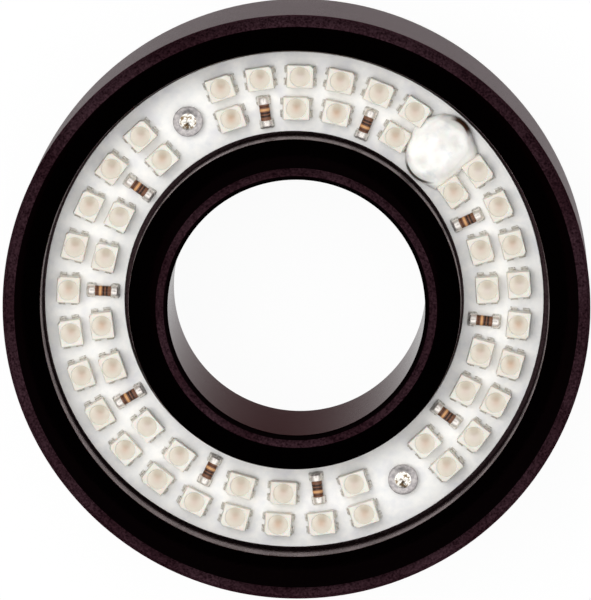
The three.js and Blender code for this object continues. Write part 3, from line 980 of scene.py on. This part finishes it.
led_plastic = Finish(
    "led_moulding", Specular_IOR_Level=0.4, Subsurface_Weight=0.25, Subsurface_Scale=0.5 * MM)
flow = led_plastic.noise(FLOW)
batch = led_plastic.noise(BATCH, detail=1)
package_white = led_plastic.mottled(batch, rgb(223, 217, 206), rgb(230, 226, 217), NARROW_SPAN)
led_plastic.set("Base Color", package_white)
led_plastic.grained(flow, roughness=0.35, spread=0.2, depth=FLOW_DEPTH)

gel = Finish("led_gel", Roughness=0.3, Coat_Weight=1.0, Coat_Roughness=0.16, Coat_IOR=2.3)
swirl = gel.noise(SWIRL, detail=2)
tint = gel.noise(TINT, detail=1)
chip_and_painted_shade = gel.mottled(tint, rgb(190, 156, 126), rgb(202, 186, 172), NARROW_SPAN)
clear_edge = gel.mottled(swirl, rgb(197, 185, 164), rgb(205, 194, 175))
# The darker, browner middle is partly the chip under the gel and partly painted shade for the dark spot
# in each cup.
gel.set("Base Color", gel.blend(gel.marked("across").ramp(*MIDDLE_SHADE_SPAN), chip_and_painted_shade, clear_edge))

# %% Finishes of the leads and the solder
DULL_PATCH = 0.25 * MM
DULL_DEPTH = 0.006 * MM
WRINKLE = 0.3 * MM
WRINKLE_DEPTH = 0.02 * MM

tinned = Finish("tinned_lead", Metallic=0.7)
dull = tinned.noise(DULL_PATCH)
tinned.set("Base Color", tinned.mottled(dull, rgb(182, 174, 162), rgb(234, 230, 220)))
tinned.grained(dull, roughness=0.36, spread=0.2, depth=DULL_DEPTH)

solder = Finish("solder", Metallic=0.6)
wrinkle = solder.noise(WRINKLE, detail=2)
solder.set("Base Color", solder.mottled(wrinkle, rgb(192, 189, 180), rgb(248, 246, 242), (0.35, 0.6)))
solder.grained(wrinkle, roughness=0.25, spread=0.3, depth=WRINKLE_DEPTH)

# %% LED body
LED_LENGTH = 3.2 * MM
LED_WIDTH = 2.8 * MM
LED_HEIGHT = 1.9 * MM
LED_STANDOFF = 0.12 * MM
LED_DRAFT = 0.09 * MM
LED_BAND = 0.12 * MM
LED_NOTCH = 0.36 * MM
LED_CORNER = 0.14 * MM
LED_EDGE = 0.06 * MM
CUP_RIM = 1.22 * MM
CUP_FLOOR = 0.98 * MM
CUP_DEPTH = 0.32 * MM
CUP_STEPS = 40

led_half_height = (LED_HEIGHT - LED_STANDOFF - LED_BAND) / 2
parting_z = LED_STANDOFF + led_half_height
led_body = blank(
    bpy.ops.mesh.primitive_plane_add, (0, 0, parting_z), (1, LED_WIDTH / LED_LENGTH, 1),
    size=LED_LENGTH)
edit(led_body)
pick(led_body, "verts", lambda p: p.x > 0 and p.y > 0)
bpy.ops.mesh.bevel(offset=LED_NOTCH, segments=1, affect="VERTICES")
pick(led_body, "verts", lambda p: near(p.x, -LED_LENGTH / 2))
bpy.ops.mesh.bevel(offset=LED_CORNER, segments=3, affect="VERTICES")
pick(led_body, "verts", lambda p: near(p.x, LED_LENGTH / 2) and near(p.y, -LED_WIDTH / 2))
bpy.ops.mesh.bevel(offset=LED_CORNER, segments=3, affect="VERTICES")


def draft_out(height):
    """Extrude the chosen face away and narrow it by the draft on every side."""
    bpy.ops.mesh.extrude_region_move(TRANSFORM_OT_translate={"value": (0, 0, height)})
    narrower = (1 - 2 * LED_DRAFT / LED_LENGTH, 1 - 2 * LED_DRAFT / LED_WIDTH, 1)
    bpy.ops.transform.resize(value=narrower, center_override=(0, 0, 0))


bpy.ops.mesh.select_mode(type="FACE")
bpy.ops.mesh.select_all(action="SELECT")
bpy.ops.mesh.extrude_region_move(TRANSFORM_OT_translate={"value": (0, 0, LED_BAND)})
draft_out(led_half_height)
pick(led_body, "faces", lambda p: near(p.z, parting_z))
draft_out(-led_half_height)
pick(led_body, "edges", lambda p: near(p.z, LED_HEIGHT))
bpy.ops.mesh.bevel(offset=LED_EDGE, segments=2, affect="EDGES")
close_up(led_body)
print("LED body:", len(led_body.data.polygons), "faces")

# %% LED cup
CUP_EDGE = 0.03 * MM

cup_slope = (CUP_RIM - CUP_FLOOR) / CUP_DEPTH
cut(led_body, blank(
    bpy.ops.mesh.primitive_cone_add, (0, 0, LED_HEIGHT), vertices=CUP_STEPS, radius1=CUP_FLOOR,
    radius2=CUP_FLOOR + cup_slope * 2 * CUP_DEPTH, depth=2 * CUP_DEPTH))
edit(led_body)
rim_edges = pick(led_body, "edges", lambda p: near(p.z, LED_HEIGHT) and near(p.xy.length, CUP_RIM))
bpy.ops.mesh.bevel(offset=CUP_EDGE, segments=2, affect="EDGES")
close_up(led_body)
smooth(paint(led_body, led_plastic), 40)
print("cup rim:", rim_edges, "edges rounded")

# %% [markdown]
# The gel is a shallow dome that starts just below the cup's rim. Its radius of curvature
# decides how far from the middle the dark hole of the light tent is reflected, so it is
# worked out from the radius and not from a height.

# %% LED gel
GEL_RADIUS = CUP_RIM - 0.05 * MM
GEL_CURVE = 4.5 * MM
GEL_EDGE_Z = LED_HEIGHT - 0.12 * MM
GEL_RINGS = 8


def gel_height(across):
    crown = math.sqrt(GEL_CURVE ** 2 - across ** 2) - math.sqrt(GEL_CURVE ** 2 - GEL_RADIUS ** 2)
    return GEL_EDGE_Z + crown


dome = [GEL_RADIUS * k / GEL_RINGS for k in range(GEL_RINGS + 1)]
cup_bottom = LED_HEIGHT - CUP_DEPTH
led_gel = turn_section("led_gel", [
    *(Vector((across, gel_height(across))) for across in dome),
    Vector((CUP_FLOOR, cup_bottom)),
    Vector((0, cup_bottom)),
], CUP_STEPS, closed=False)
mark(led_gel, "across", lambda p: p.xy.length / GEL_RADIUS)
smooth(paint(led_gel, gel), 50)
print(f"gel crown: {(gel_height(0) - GEL_EDGE_Z) / MM:.3f} mm high")

# %% [markdown]
# Four tinned strips leave the package at the parting line, bend down and fold under it. Each
# is a bent section extruded to its width, and a small concave fillet of solder climbs it
# from the board.

# %% LED leads and their solder
LEAD_WIDTH = 0.72 * MM
LEAD_SPACING = 1.46 * MM
LEAD_OUT = 1.77 * MM
LEAD_IN = 1.62 * MM
LEAD_TOP = 0.98 * MM
LEAD_ROOT = 1.3 * MM
LEAD_FOOT = 1.1 * MM
LEAD_THICKNESS = LEAD_OUT - LEAD_IN
LEAD_BEND = 0.2 * MM
FILLET_REACH = 0.17 * MM
FILLET_CLIMB = 0.42 * MM
FILLET_WIDTH_SHARE = 1.15
FILLET_SHARES = [(1, 0), (0.4, 0.18), (0.12, 0.5), (0, 1)]

lead = slice_section("lead", rounded([
    (LEAD_ROOT, LEAD_TOP, 0),
    (LEAD_OUT, LEAD_TOP, LEAD_BEND),
    (LEAD_OUT, 0, LEAD_BEND),
    (LEAD_FOOT, 0, 0),
    (LEAD_FOOT, LEAD_THICKNESS, 0),
    (LEAD_IN, LEAD_THICKNESS, LEAD_BEND / 3),
    (LEAD_IN, LEAD_TOP - LEAD_THICKNESS, LEAD_BEND / 3),
    (LEAD_ROOT, LEAD_TOP - LEAD_THICKNESS, 0),
]), LEAD_WIDTH)
smooth(paint(lead, tinned))

fillet = slice_section("fillet", [
    Vector((LEAD_OUT - LEAD_THICKNESS / 2, FILLET_CLIMB)),
    Vector((LEAD_OUT - LEAD_THICKNESS / 2, 0)),
    *(Vector((LEAD_OUT + out * FILLET_REACH, up * FILLET_CLIMB)) for out, up in FILLET_SHARES),
], LEAD_WIDTH * FILLET_WIDTH_SHARE)
smooth(paint(fillet, solder), 60)

led_parts = [led_body, led_gel]
for part in (lead, fillet):
    for side in (0, math.pi):
        for along in (-1, 1):
            step = Matrix.Translation((0, along * LEAD_SPACING / 2, 0))
            led_parts.append(copy_of(part, part.name, Matrix.Rotation(side, 4, "Z") @ step))
    bpy.data.objects.remove(part)
led_model = join("led_model", led_parts)
print("one LED:", len(led_model.data.polygons), "faces,", [m.name for m in led_model.data.materials])

# %% [markdown]
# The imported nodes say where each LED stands. The finished LED is copied to every place with
# a mesh of its own, and the copy replaces that node.

# %% Place the fifty LEDs
led_nodes = sorted(name for name in frame["nodes"] if name.startswith("led_") and name != "led_board")
for node_name in led_nodes:
    radius, angle, height = standing_place(node_name)
    piece = copy_of(led_model, node_name.replace("led_", "led_package_"), on_board(radius, angle, height))
    show(piece, "led_package", node_name)
bpy.data.objects.remove(led_model)
print(len(led_nodes), "LEDs placed")

# %% [markdown]
# ## Resistors
#
# The round resistors are a ceramic rod with a pressed metal cap at each end, lacquered brown
# and ringed with paint. The rod's points store how far along it they lie, in millimetres
# from its middle, and the lacquer paints the bands by that number. Which end of a resistor
# faces outwards makes no difference to it, and five of the ten lie the other way round.

# %% Resistor finishes
SPECK = 0.3 * MM
SCUFF = 0.2 * MM
BAND_EDGE = 0.06
BANDS = [
    (-0.52, -0.36, rgb(46, 22, 8)),
    (-0.14, 0.0, rgb(44, 20, 6)),
    (0.2, 0.42, rgb(202, 150, 100)),
    (0.62, 0.76, rgb(74, 38, 16)),
]
lacquer = Finish(
    "resistor_lacquer", Roughness=0.22, Specular_IOR_Level=0.3, Coat_Weight=0.3, Coat_Roughness=0.08)
speck = lacquer.noise(SPECK, detail=2)
colour = lacquer.mottled(speck, rgb(100, 63, 45), rgb(124, 84, 61))
along = lacquer.marked("along")
for band_start, band_end, band_colour in BANDS:
    colour = lacquer.blend(along.between(band_start, band_end, BAND_EDGE), colour, band_colour)
lacquer.set("Base Color", colour)

cap_metal = Finish("resistor_cap", Metallic=0.85)
scuff = cap_metal.noise(SCUFF, detail=2)
cap_metal.set("Base Color", cap_metal.blend(scuff, rgb(244, 236, 229), rgb(254, 248, 241)))
cap_metal.set("Roughness", scuff * 0.2 + 0.2)

# %% Resistor shape
RESISTOR_LENGTH = 3.6 * MM
BODY_RADIUS = 0.62 * MM
CAP_RADIUS = 0.7 * MM
CAP_LENGTH = 0.86 * MM
CAP_EDGE = 0.24 * MM
RESISTOR_STEPS = 28
half_length = RESISTOR_LENGTH / 2

rod = turn_section("rod", rounded([
    (0, CAP_LENGTH / 2 - half_length, 0),
    (BODY_RADIUS, CAP_LENGTH / 2 - half_length, 0),
    (BODY_RADIUS, half_length - CAP_LENGTH / 2, 0),
    (0, half_length - CAP_LENGTH / 2, 0),
]), RESISTOR_STEPS, closed=False)
smooth(paint(rod, lacquer))
cap = turn_section("cap", rounded([
    (0, half_length - CAP_LENGTH, 0),
    (CAP_RADIUS, half_length - CAP_LENGTH, CAP_EDGE / 3),
    (CAP_RADIUS, half_length, CAP_EDGE),
    (0, half_length, 0),
]), RESISTOR_STEPS, closed=False)
smooth(paint(cap, cap_metal))
lying = Matrix.Translation((0, 0, CAP_RADIUS)) @ Matrix.Rotation(-QUARTER_TURN, 4, "X")
other_end = lying @ Matrix.Rotation(math.pi, 4, "X")
resistor_parts = [copy_of(cap, "cap_in", other_end), move_mesh(cap, lying), move_mesh(rod, lying)]
mark(rod, "along", lambda p: p.y / MM)
print("resistor:", [len(part.data.polygons) for part in resistor_parts], "faces in caps and rod")

# %% [markdown]
# Solder flows up the sides of each cap and out over its pad. A cube is stretched over the
# pad and cut in three each way, its two upper layers of points are drawn in towards the cap
# and a Subdivision Surface modifier rounds it off.

# %% Resistor solder
PAD_WIDTH = 1.8 * MM
PAD_LENGTH = 1.2 * MM
PAD_CLIMB = 0.5 * MM
PAD_OFFSET = 0.02 * MM
PAD_LAYER_SHARES = [(1, 0.62, 0.5), (2 / 3, 0.72, 0.7)]


def solder_dab(middle_y):
    dab = blank(
        bpy.ops.mesh.primitive_cube_add, (0, middle_y, PAD_CLIMB / 2),
        (PAD_WIDTH, PAD_LENGTH, PAD_CLIMB), size=1)
    edit(dab)
    bpy.ops.mesh.select_all(action="SELECT")
    bpy.ops.mesh.subdivide(number_cuts=2)
    for up, wide, long in PAD_LAYER_SHARES:
        pick(dab, "verts", lambda p: near(p.z, PAD_CLIMB * up))
        bpy.ops.transform.resize(value=(wide, long, 1), center_override=(0, middle_y, 0))
    close_up(dab)
    choose(dab)
    modifier = dab.modifiers.new("flow", "SUBSURF")
    modifier.levels = modifier.render_levels = 2
    bpy.ops.object.modifier_apply(modifier=modifier.name)
    return smooth(paint(dab, solder), 80)


pad_middle = half_length - CAP_LENGTH / 2 + PAD_OFFSET
resistor_parts += [solder_dab(pad_middle), solder_dab(-pad_middle)]
resistor_model = join("resistor_model", resistor_parts)
print("one resistor:", len(resistor_model.data.polygons), "faces with its solder")

# %% [markdown]
# Every third LED of the outer row, counted from the second, has a resistor inwards of it.
# The solids hold the resistors as part of the board, so these pieces replace the board too.

# %% Place the ten resistors
RESISTOR_MIDDLE = 22.42 * MM
TURNED_ROUND = (1, 2, 3, 4, 9)

middle_leds = [name for name in led_nodes if "outer" in name][1::3]
for i, led_name in enumerate(middle_leds):
    _, angle, _ = standing_place(led_name)
    place = on_board(RESISTOR_MIDDLE, angle, BOARD_TOP_Z)
    if i + 1 in TURNED_ROUND:
        place = place @ Matrix.Rotation(math.pi, 4, "Z")
    piece = copy_of(resistor_model, f"resistor_{i + 1:02d}", place)
    show(piece, "board", "led_board")
bpy.data.objects.remove(resistor_model)
print(len(middle_leds), "resistors placed, each inwards of the middle one of three outer LEDs")

# %% [markdown]
# ## Board screws
#
# Small button-head screws of bright steel hold the board. Each has a low dome with a
# rounded edge and a six-lobed socket with a chamfer round it. The shank is threaded with one
# ring of tooth for every turn, like the holes. The punched socket's faces get a brighter copy
# of the steel, mottled with brown patches and white glints. Its brightness and the white
# glints are painted highlight, as if the socket caught light from every side.

# %% Screw finishes
BRUSHING = 0.4 * MM
BRUSHING_DEPTH = 0.004 * MM
GLINT = 0.55 * MM
GLINT_DEPTH = 0.01 * MM

steel = Finish("screw_steel", Metallic=1.0)
brushed = steel.noise(BRUSHING)
steel.set("Base Color", steel.mottled(brushed, rgb(164, 159, 160), rgb(212, 206, 204), NARROW_SPAN))
steel.grained(brushed, roughness=0.24, spread=0.14, depth=BRUSHING_DEPTH)

# A brighter copy of the steel for the socket, with white glints: painted highlight.
socket_painted_highlight = Finish("socket_painted_highlight", Metallic=1.0)
glints = socket_painted_highlight.noise(GLINT, detail=2)
painted_glints = socket_painted_highlight.mottled(glints, rgb(140, 116, 86), rgb(255, 252, 244), (0.38, 0.5))
socket_painted_highlight.set("Base Color", painted_glints)
socket_painted_highlight.grained(glints, roughness=0.16, spread=0.16, depth=GLINT_DEPTH)

# %% Screw shape
HEAD_RADIUS = 1.75 * MM
HEAD_HEIGHT = 1.15 * MM
HEAD_FLAT = 1.0 * MM
HEAD_ROUND = 0.4 * MM
HEAD_FOOT_ROUND = 0.04 * MM
EDGE_SLOPE = math.tan(math.radians(20))
FLAT_SLOPE = math.tan(math.radians(4))
HEAD_STEPS = 64
CROWN_STEPS = 8
SHANK_RADIUS = 1.0 * MM
SHANK_LENGTH = 6 * MM
SHANK_PITCH = 0.4 * MM

threads = []
height = SHANK_PITCH - SHANK_LENGTH
while height + SHANK_PITCH < -BOARD_THICKNESS:
    threads += [(SHANK_RADIUS, height, 0), (SHANK_RADIUS - THREAD_DEPTH, height + SHANK_PITCH / 2, 0)]
    height += SHANK_PITCH
crown = []
crown_width = HEAD_RADIUS - HEAD_FLAT
head_edge = HEAD_HEIGHT - crown_width * (EDGE_SLOPE + FLAT_SLOPE) / 2
for k in range(1, CROWN_STEPS + 1):
    t = k / CROWN_STEPS
    rise = crown_width * (EDGE_SLOPE * t + (FLAT_SLOPE - EDGE_SLOPE) * t ** 2 / 2)
    crown.append((HEAD_RADIUS - crown_width * t, head_edge + rise, 0))
screw_model = turn_section("screw_model", rounded([
    (0, -SHANK_LENGTH, 0),
    (SHANK_RADIUS - THREAD_DEPTH * 2, -SHANK_LENGTH, 0),
    *threads,
    (SHANK_RADIUS, height, 0),
    (SHANK_RADIUS, 0, 0),
    (HEAD_RADIUS, 0, HEAD_FOOT_ROUND),
    (HEAD_RADIUS, head_edge, HEAD_ROUND),
    *crown,
    (0, HEAD_HEIGHT, 0),
]), HEAD_STEPS, closed=False)
print("screw:", len(screw_model.data.polygons), "faces without its socket")

# %% [markdown]
# The socket's cutter is a twelve-sided cylinder. Drawing in every second upright edge makes
# a six-pointed star, and bevelling all the upright edges turns its points into round lobes.
# Its end is narrowed and drawn out to the shallow point that a punch leaves. A wide cone
# then takes off the chamfer round the socket's mouth.

# %% Screw socket
SOCKET_SIDES = 12
SOCKET_RADIUS = 0.94 * MM
SOCKET_WAIST = 0.62
SOCKET_DEPTH = 0.5 * MM
SOCKET_ROUND = 0.16 * MM
CHAMFER_RADIUS = 0.98 * MM
CHAMFER_SLOPE = 0.3
SOCKET_DRAFT = 0.9
SOCKET_POINT = 0.16 * MM
SOCKET_FACES_Z = 0.3 * MM

socket_middle = HEAD_HEIGHT - SOCKET_DEPTH / 2 + OVERRUN / 2
star = blank(
    bpy.ops.mesh.primitive_cylinder_add, (0, 0, socket_middle), vertices=SOCKET_SIDES,
    radius=SOCKET_RADIUS, depth=SOCKET_DEPTH + OVERRUN)
edit(star)
pick(star, "verts", lambda p: round(math.atan2(p.y, p.x) * SOCKET_SIDES / FULL_TURN) % 2 == 1)
bpy.ops.transform.resize(value=(SOCKET_WAIST, SOCKET_WAIST, 1), center_override=(0, 0, 0))
bpy.ops.mesh.select_mode(type="EDGE")
bpy.ops.mesh.select_all(action="DESELECT")
for star_edge in bmesh.from_edit_mesh(star.data).edges:
    low, high = (corner.co for corner in star_edge.verts)
    star_edge.select_set((low - high).xy.length < MERGE)
bpy.ops.mesh.bevel(offset=SOCKET_ROUND, segments=3, affect="EDGES")
pick(star, "faces", lambda p: near(p.z, HEAD_HEIGHT - SOCKET_DEPTH))
bpy.ops.transform.resize(value=(SOCKET_DRAFT, SOCKET_DRAFT, 1), center_override=(0, 0, 0))
bpy.ops.mesh.poke(offset=SOCKET_POINT)
close_up(star)
print("socket's cutter:", len(star.data.polygons), "faces")
cut(screw_model, star)

# %% Chamfer of the socket, and the screws in place
cone_depth = 2 * CHAMFER_RADIUS * CHAMFER_SLOPE
cut(screw_model, blank(
    bpy.ops.mesh.primitive_cone_add, (0, 0, HEAD_HEIGHT), vertices=HEAD_STEPS, radius1=0,
    radius2=2 * CHAMFER_RADIUS, depth=cone_depth))
paint(screw_model, steel, socket_painted_highlight)
edit(screw_model)
# The socket's faces take the brighter copy of the steel, which is painted highlight.
repaint(screw_model, 1, lambda p: p.z > SOCKET_FACES_Z and p.xy.length < CHAMFER_RADIUS + MERGE)
close_up(screw_model)
smooth(screw_model, 30)
print("screw:", len(screw_model.data.polygons), "faces when finished")

for i, angle in enumerate(screw_angles):
    place = Matrix.Translation(on_ring(BOARD_MIDDLE, angle, BOARD_TOP_Z) + SCREW_SLIP)
    piece = copy_of(screw_model, f"screw_{i + 1}", place @ Matrix.Rotation(angle, 4, "Z"))
    show(piece, "screw", f"board_screw_{i + 1}")
bpy.data.objects.remove(screw_model)

# %% [markdown]
# ## Silicone over the wires
#
# The dab is squeezed out over the wire joints and settles into a low, lumpy dome that leans
# on the LEDs beside it. A finely divided cube is drawn nearly to a sphere, stretched to the
# dab's size and cut off at the board, which leaves even faces all over. A few soft pushes
# with proportional editing then give it the uneven top and foot that a hand-laid dab has,
# and the bump adds the small dents.

# %% Silicone finish
SOFT_DENT = 1.6 * MM
GREY_PATCH = 1.3 * MM
GREY_PATCH_SPAN = (0.55, 0.75)
GREY_PATCH_SHARE = 0.6
DENT_DEPTH = 0.05 * MM

silicone = Finish(
    "white_silicone", Specular_IOR_Level=0.45, Subsurface_Weight=0.15, Subsurface_Scale=0.8 * MM)
soft = silicone.noise(SOFT_DENT, detail=2)
grey_patches = silicone.noise(GREY_PATCH)
white = silicone.mottled(soft, rgb(236, 234, 229), rgb(248, 247, 243), NARROW_SPAN)
# Bluish grey patches lie at random over the white.
white = silicone.blend(grey_patches.ramp(*GREY_PATCH_SPAN) * GREY_PATCH_SHARE, white, rgb(206, 210, 212))
# The flux stain and the painted shadow at the silicone's foot.
silicone.set("Base Color", with_flux_and_shadow(silicone, white, soft))
silicone.set("Roughness", soft * 0.16 + 0.26)
silicone.bump(soft + grey_patches, DENT_DEPTH)

# %% Silicone dab
DAB_LENGTH = 8.8 * MM
DAB_WIDTH = 7.3 * MM
DAB_HEIGHT = 2.4 * MM
DAB_SINK = 0.25
DAB_CUTS = 23
DAB_ROUNDNESS = 0.88
PUSHES_MM = [
    ((-1.2, 1.0, 2.2), (0, 0, 0.35), 2.0),
    ((1.4, -1.2, 2.0), (0.2, 0, 0.3), 1.8),
    ((0.9, 2.4, 1.6), (0, 0, -0.35), 1.3),
    ((-0.4, -2.6, 1.4), (0, -0.1, -0.3), 1.2),
    ((0.2, 0.4, 2.4), (0, 0, -0.25), 1.2),
    ((2.6, -3.0, 0.4), (0.3, -0.5, 0), 1.8),
    ((-2.4, -3.2, 0.5), (0.3, 0.1, 0), 2.0),
    ((-3.5, 1.2, 0.5), (-0.3, 0, 0), 1.8),
    ((3.0, 2.2, 0.5), (0.55, 0.3, 0), 2.0),
]

dab = blank(bpy.ops.mesh.primitive_cube_add, size=2)
dab.name = "silicone_dab"
edit(dab)
bpy.ops.mesh.select_all(action="SELECT")
bpy.ops.mesh.subdivide(number_cuts=DAB_CUTS)
bpy.ops.transform.tosphere(value=DAB_ROUNDNESS)
half_size = max(point.co.x for point in bmesh.from_edit_mesh(dab.data).verts)
dab_size = (DAB_WIDTH / 2, DAB_LENGTH / 2, DAB_HEIGHT / (1 + DAB_SINK))
bpy.ops.transform.resize(value=[size / half_size for size in dab_size], center_override=(0, 0, 0))
sink = DAB_HEIGHT * DAB_SINK / (1 + DAB_SINK)
bpy.ops.mesh.bisect(
    plane_co=(0, 0, -sink), plane_no=(0, 0, 1), use_fill=True, clear_inner=True, threshold=MERGE)
bpy.ops.mesh.select_all(action="SELECT")
bpy.ops.transform.translate(value=(0, 0, sink))
for spot, push, reach in PUSHES_MM:
    target = Vector(spot) * MM
    points = bmesh.from_edit_mesh(dab.data).verts
    nearest = min((point.co.copy() for point in points), key=lambda p: (p - target).length)
    pick(dab, "verts", lambda p: (p - nearest).length < MERGE)
    bpy.ops.transform.translate(
        value=[value * MM for value in push], use_proportional_edit=True,
        proportional_edit_falloff="SMOOTH", proportional_size=reach * MM)
close_up(dab)
move_mesh(dab, on_board(BOARD_MIDDLE, wire_angle, BOARD_TOP_Z))
smooth(paint(dab, silicone), 60)
show(dab, "silicone", "wire_sealant")
print("silicone:", len(dab.data.polygons), "faces,", [round(v / MM, 2) for v in dab.dimensions])

# %% [markdown]
# ## Cable grommet
#
# A soft rubber sleeve lines the cable inlet in the side wall. It is turned like the housing,
# with generous rounds on its flange and lip, and laid along the inlet's own line.

# %% Grommet finish
CHALK = 0.35 * MM
CHALK_DEPTH = 0.02 * MM

rubber = Finish("black_rubber", Specular_IOR_Level=0.35)
chalk = rubber.noise(CHALK, detail=4)
rubber.set("Base Color", rubber.mottled(chalk, rgb(26, 25, 26), rgb(40, 38, 38)))
rubber.grained(chalk, roughness=0.55, spread=0.2, depth=CHALK_DEPTH)

# %% Grommet
CABLE_BORE = 2.1 * MM
LIP_RADIUS = 3.9 * MM
LIP_THICKNESS = 1.1 * MM
RUBBER_ROUND = 0.2 * MM
lip_face = math.sqrt(GROOVE_OUTER ** 2 - LIP_RADIUS ** 2) - INLET_GAP
grommet = turn_section("inlet_grommet", rounded([
    (CABLE_BORE, lip_face - LIP_THICKNESS, RUBBER_ROUND),
    (NECK_RADIUS, lip_face - LIP_THICKNESS, RUBBER_ROUND),
    (LIP_RADIUS, lip_face, 0.75 * RUBBER_ROUND),
    (NECK_RADIUS, lip_face, RUBBER_ROUND / 2),
    (NECK_RADIUS, flange_face - FLANGE_THICKNESS, RUBBER_ROUND / 2),
    (FLANGE_RADIUS, flange_face - FLANGE_THICKNESS, RUBBER_ROUND),
    (FLANGE_RADIUS, flange_face, 2.5 * RUBBER_ROUND),
    (CABLE_BORE, flange_face, 1.75 * RUBBER_ROUND),
], steps=5), INLET_STEPS)
move_mesh(grommet, to_inlet)
smooth(paint(grommet, rubber))
show(grommet, "grommet_rubber", "cable_grommet")
print("grommet:", [round(v / MM, 2) for v in grommet.dimensions])
